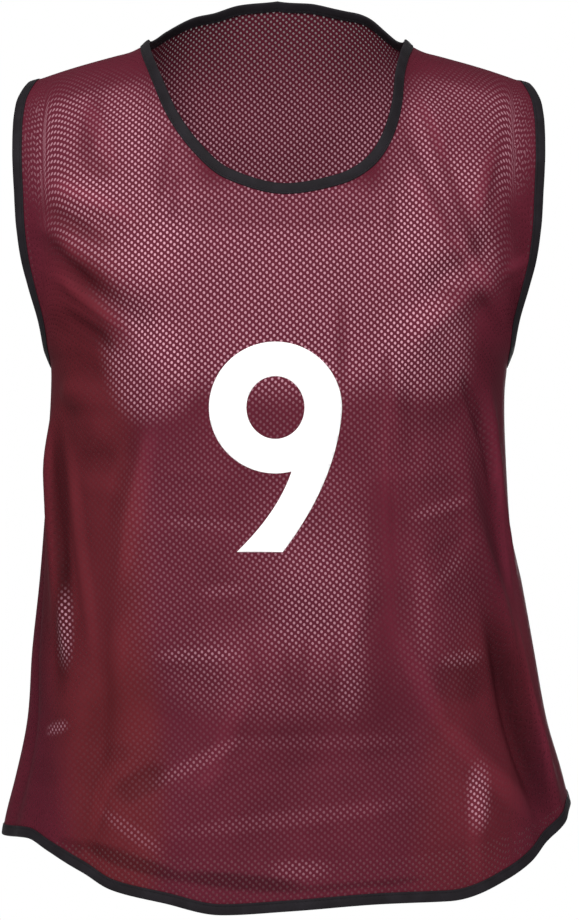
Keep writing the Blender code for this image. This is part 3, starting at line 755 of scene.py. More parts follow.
class Graph:
    """A node tree while it is wired."""

    def __init__(self, tree: bpy.types.NodeTree) -> None:
        """Takes the tree to wire."""
        self.tree = tree

    def feed(self, made: bpy.types.Node, inputs: dict[Any, Any]) -> None:
        """Feeds a node's sockets.

        Args:
            made: The node.
            inputs: Sockets to feed, each with a value or with another node's output.
        """
        for name, value in inputs.items():
            if isinstance(value, bpy.types.NodeSocket):
                self.tree.links.new(value, made.inputs[name])
            else:
                made.inputs[name].default_value = value

    def node(self, kind: str, inputs: dict[Any, Any] | None = None, **settings: Any) -> Any:
        """Adds a node.

        Args:
            kind: The node's type name.
            inputs: Sockets to feed, each with a value or with another node's output.
            settings: The node's own properties.

        Returns:
            The new node.
        """
        made = self.tree.nodes.new(kind)
        for name, value in settings.items():
            setattr(made, name, value)
        self.feed(made, inputs or {})
        return made

    def math(self, operation: str, *values: Any, clamp: bool = False) -> bpy.types.NodeSocket:
        """Adds a Math node and returns its value."""
        inputs = dict(enumerate(values))
        return self.node("ShaderNodeMath", inputs, operation=operation, use_clamp=clamp).outputs[0]

    def vector(
        self, operation: str, inputs: dict[Any, Any], output: int | str = 0
    ) -> bpy.types.NodeSocket:
        """Adds a Vector Math node and returns one of its outputs."""
        return self.node("ShaderNodeVectorMath", inputs, operation=operation).outputs[output]

    def mix(self, share: Any, first: Any, second: Any, blend: str = "MIX") -> bpy.types.NodeSocket:
        """Mixes two colours and returns the result."""
        made = self.node("ShaderNodeMix", data_type="RGBA", blend_type=blend)
        self.feed(made, {0: share, 6: first, 7: second})
        return made.outputs[2]

    def between(self, value: Any, low: Any, high: Any, flip: bool = False) -> bpy.types.NodeSocket:
        """A smooth step from 0 at low to 1 at high, or the other way round."""
        ends = {3: 1.0, 4: 0.0} if flip else {3: 0.0, 4: 1.0}
        inputs = {0: value, 1: low, 2: high, **ends}
        return self.node("ShaderNodeMapRange", inputs, interpolation_type="SMOOTHSTEP").outputs[0]

    def swing(self, value: Any, reach: float, middle: float = 1.0) -> bpy.types.NodeSocket:
        """Swings about a middle as a value goes from 0 to 1."""
        return self.math("MULTIPLY_ADD", value, reach, middle - reach / 2)

    def uv_map(self, name: str) -> bpy.types.NodeSocket:
        """The place on one of the piece's own UV maps."""
        return self.node("ShaderNodeUVMap", uv_map=name).outputs[0]

    def group(self, tree: bpy.types.NodeTree, *inputs: Any) -> list[bpy.types.NodeSocket]:
        """Places a node group, its inputs fed in order, and returns its outputs."""
        return list(self.node("ShaderNodeGroup", dict(enumerate(inputs)), node_tree=tree).outputs)

    def surface(
        self, shader: Any, colour: Any, rough: Any, height: Any, relief: Relief, specular: float
    ) -> None:
        """Feeds the sockets that every finish here uses.

        Args:
            shader: The Principled shader.
            colour: Its colour.
            rough: Its roughness.
            height: The height that its bumps follow.
            relief: How the bumps show.
            specular: Its specular level, the same all over.
        """
        bump = {"Strength": relief.strength, "Distance": relief.distance, "Height": height}
        normal = self.node("ShaderNodeBump", bump).outputs[0]
        self.feed(shader, {"Base Color": colour, "Roughness": rough, "Normal": normal})
        shader.inputs["Specular IOR Level"].default_value = specular


def node_group(
    name: str, inputs: dict[str, str], outputs: dict[str, str]
) -> tuple[Graph, Any, Any]:
    """Starts a shader node group.

    Args:
        name: The group's name.
        inputs: Socket names with their types.
        outputs: Socket names with their types.

    Returns:
        The group's graph, its input node and its output node.
    """
    tree = bpy.data.node_groups.new(name, "ShaderNodeTree")
    for way, sockets in (("INPUT", inputs), ("OUTPUT", outputs)):
        for socket, kind in sockets.items():
            tree.interface.new_socket(name=socket, in_out=way, socket_type=f"NodeSocket{kind}")
    graph = Graph(tree)
    return graph, graph.node("NodeGroupInput"), graph.node("NodeGroupOutput")


@dataclass(frozen=True)
class NetLattice:
    """The even lattice of holes: two steps from hole to hole in the cut, and the hole, in mm."""

    step_up: tuple[float, float] = (2.35, 2.91)
    step_down: tuple[float, float] = (2.65, -2.09)
    hole_half_width: float = 0.92
    hole_half_height: float = 1.06
    edge_softness: float = 0.22
    drift_scale: float = 28.0
    drift_reach: float = 1.6
    rim_rise: tuple[float, float] = (0.95, 1.25)
    rim_fall: tuple[float, float] = (1.3, 1.75)
    thread_rise: tuple[float, float] = (0.8, 1.6)

    def group(self) -> bpy.types.NodeTree:
        """Makes the node group: masks of the holes and of the thread round them."""
        found = bpy.data.node_groups.get("net lattice")
        if found:
            return found
        masks = {"Hole": "Float", "Rim": "Float", "Height": "Float"}
        graph, given, result = node_group("net lattice", {"Cut Place": "Vector"}, masks)
        (ax, ay), (bx, by) = self.step_up, self.step_down
        across = ax * by - bx * ay
        place = given.outputs[0]
        scaled = graph.vector("SCALE", {0: place, "Scale": 1 / MM})
        noise = {"Vector": place, "Scale": self.drift_scale, "Detail": 1.0}
        drift = graph.node("ShaderNodeTexNoise", noise).outputs["Color"]
        centred = graph.vector("SUBTRACT", {0: drift, 1: (0.5, 0.5, 0.5)})
        reach = (self.drift_reach, self.drift_reach, 0)
        drifted = graph.vector("MULTIPLY_ADD", {0: centred, 1: reach, 2: scaled})
        shares = []
        for row in ((by / across, -bx / across, 0), (-ay / across, ax / across, 0)):
            dot = graph.vector("DOT_PRODUCT", {0: drifted, 1: row}, "Value")
            shares.append(graph.math("SUBTRACT", graph.math("FRACT", dot), 0.5))
        right = graph.math("MULTIPLY_ADD", shares[0], ax, graph.math("MULTIPLY", shares[1], bx))
        up = graph.math("MULTIPLY_ADD", shares[0], ay, graph.math("MULTIPLY", shares[1], by))
        flat = graph.math("POWER", graph.math("DIVIDE", right, self.hole_half_width), 2.0)
        tall = graph.math("POWER", graph.math("DIVIDE", up, self.hole_half_height), 2.0)
        away = graph.math("SQRT", graph.math("ADD", flat, tall))
        hole = graph.between(away, 1 - self.edge_softness, 1 + self.edge_softness, flip=True)
        fall = graph.between(away, *self.rim_fall, flip=True)
        rim = graph.math("MULTIPLY", graph.between(away, *self.rim_rise), fall)
        graph.feed(result, {0: hole, 1: rim, 2: graph.between(away, *self.thread_rise)})
        return graph.tree


def yarn_group() -> bpy.types.NodeTree:
    """Makes the node group of fine yarn tone and slow tone drift, which every cloth here uses.

    Returns:
        The group, with Place, Fine Scale and Slow Scale in, and Fine and Slow values out.
    """
    found = bpy.data.node_groups.get("yarn tone")
    if found:
        return found
    scales = {"Place": "Vector", "Fine Scale": "Float", "Slow Scale": "Float"}
    graph, given, result = node_group("yarn tone", scales, {"Fine": "Float", "Slow": "Float"})
    for index, detail in ((1, 2.0), (2, 3.0)):
        noise = {"Vector": given.outputs[0], "Scale": given.outputs[index], "Detail": detail}
        graph.feed(result, {index - 1: graph.node("ShaderNodeTexNoise", noise).outputs["Fac"]})
    return graph.tree


def ribs_group() -> bpy.types.NodeTree:
    """Makes the node group of close woven ribs, for the tape and the thread.

    Returns:
        The group, with Place and Pitch in millimetres in, and a Height value out.
    """
    found = bpy.data.node_groups.get("woven ribs")
    if found:
        return found
    inputs = {"Place": "Vector", "Pitch": "Float"}
    graph, given, result = node_group("woven ribs", inputs, {"Height": "Float"})
    parts = graph.node("ShaderNodeSeparateXYZ", {0: given.outputs["Place"]})
    waves = []
    for axis, phase in ((0, 0.0), (1, 1.1)):
        metres = graph.math("MULTIPLY", parts.outputs[axis], 2000 * pi)
        turns = graph.math("DIVIDE", metres, given.outputs["Pitch"])
        waves.append(graph.math("SINE", graph.math("ADD", turns, phase)))
    graph.feed(result, {0: graph.math("MULTIPLY_ADD", graph.math("MULTIPLY", *waves), 0.5, 0.5)})
    return graph.tree


def new_material(name: str) -> tuple[bpy.types.Material, Graph, bpy.types.Node]:
    """Starts a material.

    Args:
        name: The material's name.

    Returns:
        The material, its graph and its Principled shader.
    """
    material = bpy.data.materials.new(name)
    material.use_nodes = True
    return material, Graph(material.node_tree), material.node_tree.nodes["Principled BSDF"]


@dataclass(frozen=True)
class NetFinish:
    """Maroon polyester net, with pale light painted into its holes where it glows, and holes that
    let the dark inside partly show elsewhere.
    """

    ground: tuple[int, int, int] = (85, 28, 41)
    warm: tuple[int, int, int] = (91, 31, 35)
    # painted light: the ground lifted where pale light falls on it
    lit_ground: tuple[int, int, int] = (99, 39, 54)
    # painted pale light that fills the lit holes
    glow: tuple[int, int, int] = (226, 172, 186)
    see_through: float = 0.14
    roughness: float = 0.62
    darkest: float = 0.2
    # level of the tone channel with no painted shade or light
    plain_shading: float = 0.7
    lit_share: float = 0.8
    # painted highlight on the raised rims round the holes
    rim_highlight_share: float = 0.12
    slow_swing: float = 0.36
    fine_swing: float = 0.2
    rough_swing: float = 0.12
    yarn_height: float = 0.25
    yarn_scales: tuple[float, float] = (900.0, 26.0)
    relief: Relief = Relief(0.35, 0.0003)
    specular: float = 0.03

    def material(self, name: str) -> bpy.types.Material:
        """Makes the net's material.

        Args:
            name: The material's name.

        Returns:
            The material, which reads the UV map "cut" and the attribute "cloth_light".
        """
        material, graph, shader = new_material(name)
        cut = graph.uv_map("cut")
        hole, rim, thread = graph.group(NetLattice().group(), cut)
        fine, slow = graph.group(yarn_group(), cut, *self.yarn_scales)
        light = graph.node("ShaderNodeAttribute", attribute_name="cloth_light").outputs["Color"]
        glow, warm, tone = graph.node("ShaderNodeSeparateColor", {0: light}).outputs
        lit_ground = linear(*self.lit_ground)
        colour = graph.mix(warm, linear(*self.ground), linear(*self.warm))
        # painted light: the ground lifted to its lit copy where the glow is
        colour = graph.mix(graph.math("MULTIPLY", glow, self.lit_share), colour, lit_ground)
        yarn = graph.math(
            "MULTIPLY", graph.swing(slow, self.slow_swing), graph.swing(fine, self.fine_swing)
        )
        # painted shade and light: the tone channel darkens troughs and shaded patches and lifts
        # ridges and lit patches
        rise = (1 - self.darkest) / self.plain_shading
        share = graph.math("MULTIPLY", yarn, graph.math("MULTIPLY_ADD", tone, rise, self.darkest))
        grey = graph.node("ShaderNodeCombineColor", {0: share, 1: share, 2: share}).outputs[0]
        colour = graph.mix(1.0, colour, grey, "MULTIPLY")
        # painted highlight on the raised rims round the holes
        colour = graph.mix(graph.math("MULTIPLY", rim, self.rim_highlight_share), colour, lit_ground)
        # painted pale light filling the lit holes; the other holes are partly see-through
        lit = graph.math("MULTIPLY", hole, glow, clamp=True)
        colour = graph.mix(lit, colour, linear(*self.glow))
        dark_hole = graph.math("SUBTRACT", hole, lit)
        alpha = graph.math("MULTIPLY_ADD", dark_hole, -self.see_through, 1.0, clamp=True)
        graph.feed(shader, {"Alpha": alpha})
        height = graph.math("MULTIPLY_ADD", fine, self.yarn_height, thread)
        rough = graph.swing(slow, self.rough_swing, self.roughness)
        graph.surface(shader, colour, rough, height, self.relief, self.specular)
        return material


@dataclass(frozen=True)
class TapeFinish:
    """Near-black woven binding tape, or the thread that sews it."""

    colour: tuple[int, int, int] = (30, 27, 30)
    worn: tuple[int, int, int] = (42, 39, 44)
    rib_pitch: float = 0.55
    roughness: float = 0.55
    rough_swing: float = 0.2
    worn_between: tuple[float, float] = (0.3, 0.75)
    yarn_height: float = 0.5
    yarn_scales: tuple[float, float] = (1200.0, 60.0)
    relief: Relief = Relief(0.5, 0.00012)
    specular: float = 0.06

    def material(self, name: str) -> bpy.types.Material:
        """Makes the tape's material.

        Args:
            name: The material's name.

        Returns:
            The material, which reads the UV map "tape".
        """
        material, graph, shader = new_material(name)
        along = graph.uv_map("tape")
        (ribs,) = graph.group(ribs_group(), along, self.rib_pitch)
        fine, slow = graph.group(yarn_group(), along, *self.yarn_scales)
        share = graph.math("MULTIPLY", ribs, graph.between(slow, *self.worn_between))
        colour = graph.mix(share, linear(*self.colour), linear(*self.worn))
        rough = graph.swing(fine, self.rough_swing, self.roughness)
        height = graph.math("MULTIPLY_ADD", fine, self.yarn_height, ribs)
        graph.surface(shader, colour, rough, height, self.relief, self.specular)
        return material


@dataclass(frozen=True)
class SeamFinish:
    """Maroon overlock thread along a seam, with painted shade in the grooves between its twists."""

    colour: tuple[int, int, int] = (78, 27, 39)
    # the thread's colour in painted shade, in its grooves
    dark: tuple[int, int, int] = (52, 17, 26)
    pitch: float = 1.6
    roughness: float = 0.65
    rough_swing: float = 0.2
    yarn_scales: tuple[float, float] = (1500.0, 90.0)
    relief: Relief = Relief(0.5, 0.0003)
    specular: float = 0.06

    def material(self, name: str) -> bpy.types.Material:
        """Makes the seam's material.

        Args:
            name: The material's name.

        Returns:
            The material, which reads the UV map "tape".
        """
        material, graph, shader = new_material(name)
        along = graph.uv_map("tape")
        (ribs,) = graph.group(ribs_group(), along, self.pitch)
        fine, _ = graph.group(yarn_group(), along, *self.yarn_scales)
        # painted shade: darker in the twists' grooves, lighter on their crests
        colour = graph.mix(ribs, linear(*self.dark), linear(*self.colour))
        rough = graph.swing(fine, self.rough_swing, self.roughness)
        graph.surface(shader, colour, rough, ribs, self.relief, self.specular)
        return material


@dataclass(frozen=True)
class PrintFinish:
    """Opaque white print, with the net just felt through it and painted shade in its hollows over
    the holes.
    """

    white: tuple[int, int, int] = (250, 250, 250)
    hollow_shade: tuple[int, int, int] = (240, 238, 239)
    hollow_shade_share: float = 0.4
    roughness: float = 0.455
    rough_swing: float = 0.15
    yarn_height: float = 0.15
    yarn_scales: tuple[float, float] = (1400.0, 40.0)
    relief: Relief = Relief(0.12, 0.0002)
    specular: float = 0.5

    def material(self, name: str) -> bpy.types.Material:
        """Makes the print's material.

        Args:
            name: The material's name.

        Returns:
            The material, which reads the UV map "cut".
        """
        material, graph, shader = new_material(name)
        cut = graph.uv_map("cut")
        hole, _, thread = graph.group(NetLattice().group(), cut)
        fine, _ = graph.group(yarn_group(), cut, *self.yarn_scales)
        # painted shade where the print sinks over the net's holes
        share = graph.math("MULTIPLY", hole, self.hollow_shade_share)
        colour = graph.mix(share, linear(*self.white), linear(*self.hollow_shade))
        rough = graph.swing(fine, self.rough_swing, self.roughness)
        height = graph.math("MULTIPLY_ADD", fine, self.yarn_height, thread)
        graph.surface(shader, colour, rough, height, self.relief, self.specular)
        return material


def finish_piece(
    name: str, mesh: bmesh.types.BMesh, material: bpy.types.Material
) -> bpy.types.Object:
    """Turns a bmesh into a piece that rides on the bib.

    Args:
        name: The piece's name.
        mesh: Its shape, which is freed.
        material: Its material.

    Returns:
        The piece.
    """
    data = bpy.data.meshes.new(name)
    mesh.to_mesh(data)
    mesh.free()
    data.materials.append(material)
    data.shade_smooth()
    piece = bpy.data.objects.new(name, data)
    bpy.context.scene.collection.objects.link(piece)
    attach(piece, "root")
    LOG.info("%s: %d faces", name, len(data.polygons))
    return piece


def placed_grid(
    points: np.ndarray, uv: np.ndarray, uv_name: str
) -> tuple[bmesh.types.BMesh, list[list[Any]]]:
    """Makes a grid and puts its vertices at the given points.

    Args:
        points: Points in millimetres, by column and row.
        uv: UV places by column and row.
        uv_name: The UV map's name.

    Returns:
        The mesh, with an empty attribute "cloth_light", and its vertices by column and row.
    """
    columns, rows = points.shape[:2]
    mesh = bmesh.new()
    mesh.verts.layers.float_color.new("cloth_light")
    bmesh.ops.create_grid(mesh, x_segments=columns - 1, y_segments=rows - 1, size=1)
    spread = sorted(mesh.verts, key=lambda v: (round(v.co.x, 6), round(v.co.y, 6)))
    table = [spread[i * rows : (i + 1) * rows] for i in range(columns)]
    layer = mesh.loops.layers.uv.new(uv_name)
    for i, column in enumerate(table):
        for j, vertex in enumerate(column):
            vertex.co = points[i, j] * MM
            for loop in vertex.link_loops:
                loop[layer].uv = uv[i, j]
    return mesh, table


@dataclass
class NetPanel:
    """One net panel: a fine shell on its cut, with raw edges that stand in the folded tapes."""

    name: str
    node: str
    cut: PanelCut
    flat: tuple[float, float]
    area: float
    wall: float = 0.6
    plain_shading: float = 0.7
    # painted shade in the folds' troughs and painted light on their ridges, per millimetre of fold
    fold_shading: float = 0.02
    fold_shading_ends: tuple[float, float] = (-0.16, 0.08)
    finish: NetFinish = field(default_factory=NetFinish)

    def light(self, places: np.ndarray, points: np.ndarray) -> np.ndarray:
        """Painted glow, warmth, and painted shade and light of the cloth, as colours.

        Args:
            places: Angles and rises.
            points: The cloth's points there.

        Returns:
            Red for painted pale light in the holes, green for browner cloth, blue for painted shade
            and light from the folds and, on the front, the patches.
        """
        across, height = points[..., 0], points[..., 2]
        fold = self.cut.form.fold_out(self.cut.face, places[..., 0], points)
        # painted shade in the troughs and painted light on the ridges, from the folds
        tone = self.plain_shading + np.clip(fold * self.fold_shading, *self.fold_shading_ends)
        if self.cut.face is Face.FRONT:
            # painted pale light in the holes, taken out in the gaps
            glow = soft_sum(FRONT_GLOW, across, height) * (1 - soft_sum(GLOW_GAPS, across, height))
            warm = soft_sum(WARM, across, height)
            # painted light patches lift the tone, painted shade patches lower it
            tone = tone + soft_sum(LIGHT, across, height) - soft_sum(SHADE, across, height)
        else:
            # painted pale light in the holes of the back
            glow, warm = soft_sum(BACK_GLOW, across, height), np.zeros(np.shape(across))
        return np.stack([glow, warm, np.clip(tone, 0, 1), np.ones(np.shape(glow))], axis=-1)

    def build(self) -> bmesh.types.BMesh:
        """Builds the shell.

        Returns:
            The open shell, with the UV map "cut" and the attribute "cloth_light".
        """
        places = self.cut.places()
        points = self.cut.points(places)
        uv = self.cut.form.cut_places(self.cut.face, places)
        mesh, table = placed_grid(points, uv, "cut")
        shades = mesh.verts.layers.float_color["cloth_light"]
        light = self.light(places, points)
        for i, column in enumerate(table):
            for j, vertex in enumerate(column):
                vertex[shades] = light[i, j]
        low = self.cut.side_cells
        rows = slice(low, low + self.cut.armhole_cells + 1)
        self.tuck_in(mesh, self.cut.neck, [column[-1] for column in table])
        self.tuck_in(mesh, self.cut.hem, [column[0] for column in table])
        self.tuck_in(mesh, self.cut.armholes[Side.RIGHT], table[0][rows])
        self.tuck_in(mesh, self.cut.armholes[Side.LEFT], table[-1][rows])
        if self.cut.face is Face.BACK:
            bmesh.ops.reverse_faces(mesh, faces=mesh.faces)
        return mesh

    def tuck_in(self, mesh: bmesh.types.BMesh, edge: BoundLine, line: list[Any]) -> None:
        """Extrudes a strip of cloth from a row of vertices out to the raw edge inside the tape.

        Args:
            mesh: The shell.
            edge: The bound edge.
            line: The shell's vertices along it.
        """
        layer = mesh.loops.layers.uv["cut"]
        shades = mesh.verts.layers.float_color["cloth_light"]
        raw_uv = self.cut.form.cut_places(self.cut.face, edge.raw_places)
        old_uv = {vertex: vertex.link_loops[0][layer].uv.copy() for vertex in line}
        edges = [mesh.edges.get(pair) for pair in zip(line, line[1:])]
        made = bmesh.ops.extrude_edge_only(mesh, edges=edges)["geom"]
        fresh = {item for item in made if isinstance(item, bmesh.types.BMVert)}
        uv_of = dict(old_uv)
        for old, raw, place in zip(line, edge.raw_points, raw_uv):
            twin = next(e.other_vert(old) for e in old.link_edges if e.other_vert(old) in fresh)
            twin.co, twin[shades], uv_of[twin] = raw * MM, old[shades], place
        for face in {face for vertex in fresh for face in vertex.link_faces}:
            for loop in face.loops:
                loop[layer].uv = uv_of[loop.vert]

    def dress(self, pieces: list[bpy.types.Object]) -> bpy.types.Object:
        """Gives the shell its wall and finish.

        Args:
            pieces: The separate pieces that are on it. Not used.

        Returns:
            The panel.
        """
        material = self.finish.material(f"{self.name}_net")
        panel = finish_piece(self.name, self.build(), material)
        wall = panel.modifiers.new("wall", "SOLIDIFY")
        wall.thickness, wall.offset = self.wall * MM, 0
        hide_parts(self.node)
        return panel


@dataclass
class FoldedTape:
    """A tape folded over a bound edge, with a row of stitches on both of its faces."""

    name: str
    node: str
    first: BoundLine
    second: BoundLine
    width: float = 8.5
    leaf: float = 0.75
    cloth_half: float = 0.42
    station_gap: float = 2.0
    row_depth: float = 1.7
    stitch_pitch: float = 3.2
    stitch_length: float = 2.5
    thread_radius: float = 0.2
    row_dip: float = 0.2
    proud_share: float = 0.35
    wave_lengths: tuple[float, float, float] = (17.0, 29.0, 43.0)
    wave_phases: tuple[float, float, float] = (0.7, 2.1, 4.4)
    wave_height: float = 0.045
    waved_share: float = 0.6
    finish: TapeFinish = field(default_factory=TapeFinish)

    def __post_init__(self) -> None:
        """Joins the two panels' edges to one ring of stations, evenly spaced."""
        rings = []
        for name in ("points", "inward", "out"):
            ring = self.join(getattr(self.first, name), getattr(self.second, name))
            rings.append(np.concatenate([ring, ring[:1]]))
        travelled = travelled_along(rings[0])
        self.length = float(travelled[-1])
        self.at = np.linspace(0, self.length, round(self.length / self.station_gap) + 1)
        self.points, inward, out = (
            np.stack([np.interp(self.at, travelled, ring[:, k]) for k in range(3)], 1)
            for ring in rings
        )
        self.inward = unit(inward)
        self.out = unit(out - self.inward * (out * self.inward).sum(1, keepdims=True))

    @staticmethod
    def join(first: np.ndarray, second: np.ndarray) -> np.ndarray:
        """A closed ring of values from the two edges, each seam shared by one station."""
        ends = [(first[k] + second[k])[None] / 2 for k in (0, -1)]
        return np.concatenate([ends[0], first[1:-1], ends[1], second[1:-1][::-1]])

    @property
    def outer(self) -> float:
        """How far the tape's faces stand from the middle of the cloth."""
        return self.cloth_half + self.leaf

    def profile(self) -> np.ndarray:
        """The folded tape's section, once round: in from the finished edge, and out, in mm."""
        outer, inner, width = self.outer, self.cloth_half, self.width
        row = width - self.row_depth
        face = [
            (width, outer - 0.3),
            (width - 0.2, outer - 0.06),
            (row + 0.7, outer - 0.02),
            (row, outer - self.row_dip),
            (row - 0.9, outer + 0.03),
            (width * 0.5, outer + 0.1),
            (width * 0.25, outer + 0.06),
            (1.1, outer - 0.06),
            (0.4, outer * 0.66),
        ]
        under = [(depth, -out) for depth, out in reversed(face)]
        inside = [(width, -inner), (self.leaf, -inner), (self.leaf, inner), (width, inner)]
        return np.array([*face, (0.08, 0.0), *under, *inside, face[0]])

    def build(self) -> bmesh.types.BMesh:
        """Builds the tape.

        Returns:
            The closed tape, with the UV map "tape" along and across it.
        """
        profile = self.profile()
        pairs = zip(self.wave_lengths, self.wave_phases)
        waves = sum(np.sin(2 * pi * self.at / wave + phase) for wave, phase in pairs)
        waves = waves * np.sin(pi * self.at / self.length) * self.wave_height
        depth, out = profile[:, 0], profile[:, 1]
        swell = 1 + waves[:, None] * (depth < self.width * self.waved_share)
        points = (
            self.points[:, None]
            + self.inward[:, None] * depth[:, None]
            + self.out[:, None] * (out * swell)[..., None]
        )
        round_way = np.concatenate([[0], np.cumsum(np.hypot(np.diff(depth), np.diff(out)))])
        uv = np.stack(np.broadcast_arrays(self.at[:, None], round_way[None]), axis=-1) * MM
        mesh, _ = placed_grid(points, uv, "tape")
        bmesh.ops.remove_doubles(mesh, verts=mesh.verts, dist=1e-6)
        bmesh.ops.recalc_face_normals(mesh, faces=mesh.faces)
        return mesh

    def build_stitches(self) -> bmesh.types.BMesh:
        """Builds both rows of stitches.

        Returns:
            Small spindles of thread, end to end along the rows, with the UV map "tape".
        """
        places = []
        depth = self.width - self.row_depth
        lift = self.outer - self.row_dip + self.thread_radius * self.proud_share
        across = (self.thread_radius, self.thread_radius)
        size = Matrix.Diagonal((*across, self.stitch_length / 2, 1))
        for way in (1, -1):
            row = self.points + self.inward * depth + self.out * lift * way
            travelled = travelled_along(row)
            count = round(travelled[-1] / self.stitch_pitch)
            for centre in (np.arange(count) + 0.5) * travelled[-1] / count:
                ends = [
                    Vector([np.interp(centre + shift, travelled, row[:, k]) for k in range(3)])
                    for shift in (-self.stitch_length / 2, self.stitch_length / 2)
                ]
                turn = (ends[1] - ends[0]).to_track_quat("Z", "Y").to_matrix().to_4x4()
                spot = Matrix.Scale(MM, 4) @ Matrix.Translation((ends[0] + ends[1]) / 2)
                places.append(spot @ turn @ size)
        mesh, count, apart = bmesh.new(), 1, 4.0
        bmesh.ops.create_uvsphere(mesh, u_segments=5, v_segments=4, radius=1, calc_uvs=False)
        while count < len(places):
            made = bmesh.ops.duplicate(mesh, geom=[*mesh.verts, *mesh.edges, *mesh.faces])["geom"]
            fresh = [item for item in made if isinstance(item, bmesh.types.BMVert)]
            bmesh.ops.translate(mesh, verts=fresh, vec=(apart * count, 0, 0))
            count *= 2
        spare = [vertex for vertex in mesh.verts if round(vertex.co.x / apart) >= len(places)]
        bmesh.ops.delete(mesh, geom=spare, context="VERTS")
        for vertex in mesh.verts:
            stitch = round(vertex.co.x / apart)
            vertex.co = places[stitch] @ (vertex.co - Vector((apart * stitch, 0, 0)))
        layer = mesh.loops.layers.uv.new("tape")
        for face in mesh.faces:
            for loop in face.loops:
                loop[layer].uv = (loop.vert.co.x + loop.vert.co.y, loop.vert.co.z)
        return mesh

    def dress(self) -> list[bpy.types.Object]:
        """Makes the tape and its stitches.

        Returns:
            The two pieces.
        """
        woven = self.finish.material(f"{self.name}_tape")
        tape = finish_piece(self.name, self.build(), woven)
        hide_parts(self.node)
        thread = TapeFinish(colour=(24, 22, 25), worn=(50, 48, 53), rib_pitch=0.4, roughness=0.5)
        material = thread.material(f"{self.name}_thread")
        stitches = finish_piece(f"{self.name}_stitches", self.build_stitches(), material)
        return [tape, stitches]


@dataclass
class SewnSeam:
    """A narrow ridge of overlock thread where the two panels are sewn edge to edge."""

    name: str
    form: TorsoForm
    places: np.ndarray
    half_width: float = 0.85
    half_height: float = 0.45
    sides: int = 8
    finish: SeamFinish = field(default_factory=SeamFinish)

    def build(self) -> bmesh.types.BMesh:
        """Builds the ridge.

        Returns:
            The closed ridge, with the UV map "tape" along and round it.
        """
        points = self.form.cloth(Face.FRONT, *self.places.T)
        out = self.form.directions(Face.FRONT, *self.places.T)[2]
        tangent = unit(np.gradient(points, axis=0))
        out = unit(out - tangent * (out * tangent).sum(1, keepdims=True))
        aside = np.cross(tangent, out)
        turns = np.linspace(0, 2 * pi, self.sides + 1)
        ring = (
            points[:, None]
            + aside[:, None] * (np.cos(turns) * self.half_width)[None, :, None]
            + out[:, None] * (np.sin(turns) * self.half_height)[None, :, None]
        )
        round_way = (turns * self.half_width)[None]
        along = travelled_along(points)[:, None]
        uv = np.stack(np.broadcast_arrays(along, round_way), axis=-1) * MM
        mesh, _ = placed_grid(ring, uv, "tape")
        bmesh.ops.remove_doubles(mesh, verts=mesh.verts, dist=1e-6)
        bmesh.ops.holes_fill(mesh, edges=mesh.edges, sides=0)
        bmesh.ops.recalc_face_normals(mesh, faces=mesh.faces)
        return mesh

    def dress(self) -> bpy.types.Object:
        """Makes the seam and gives it its finish."""
        thread = self.finish.material(f"{self.name}_thread")
        return finish_piece(self.name, self.build(), thread)


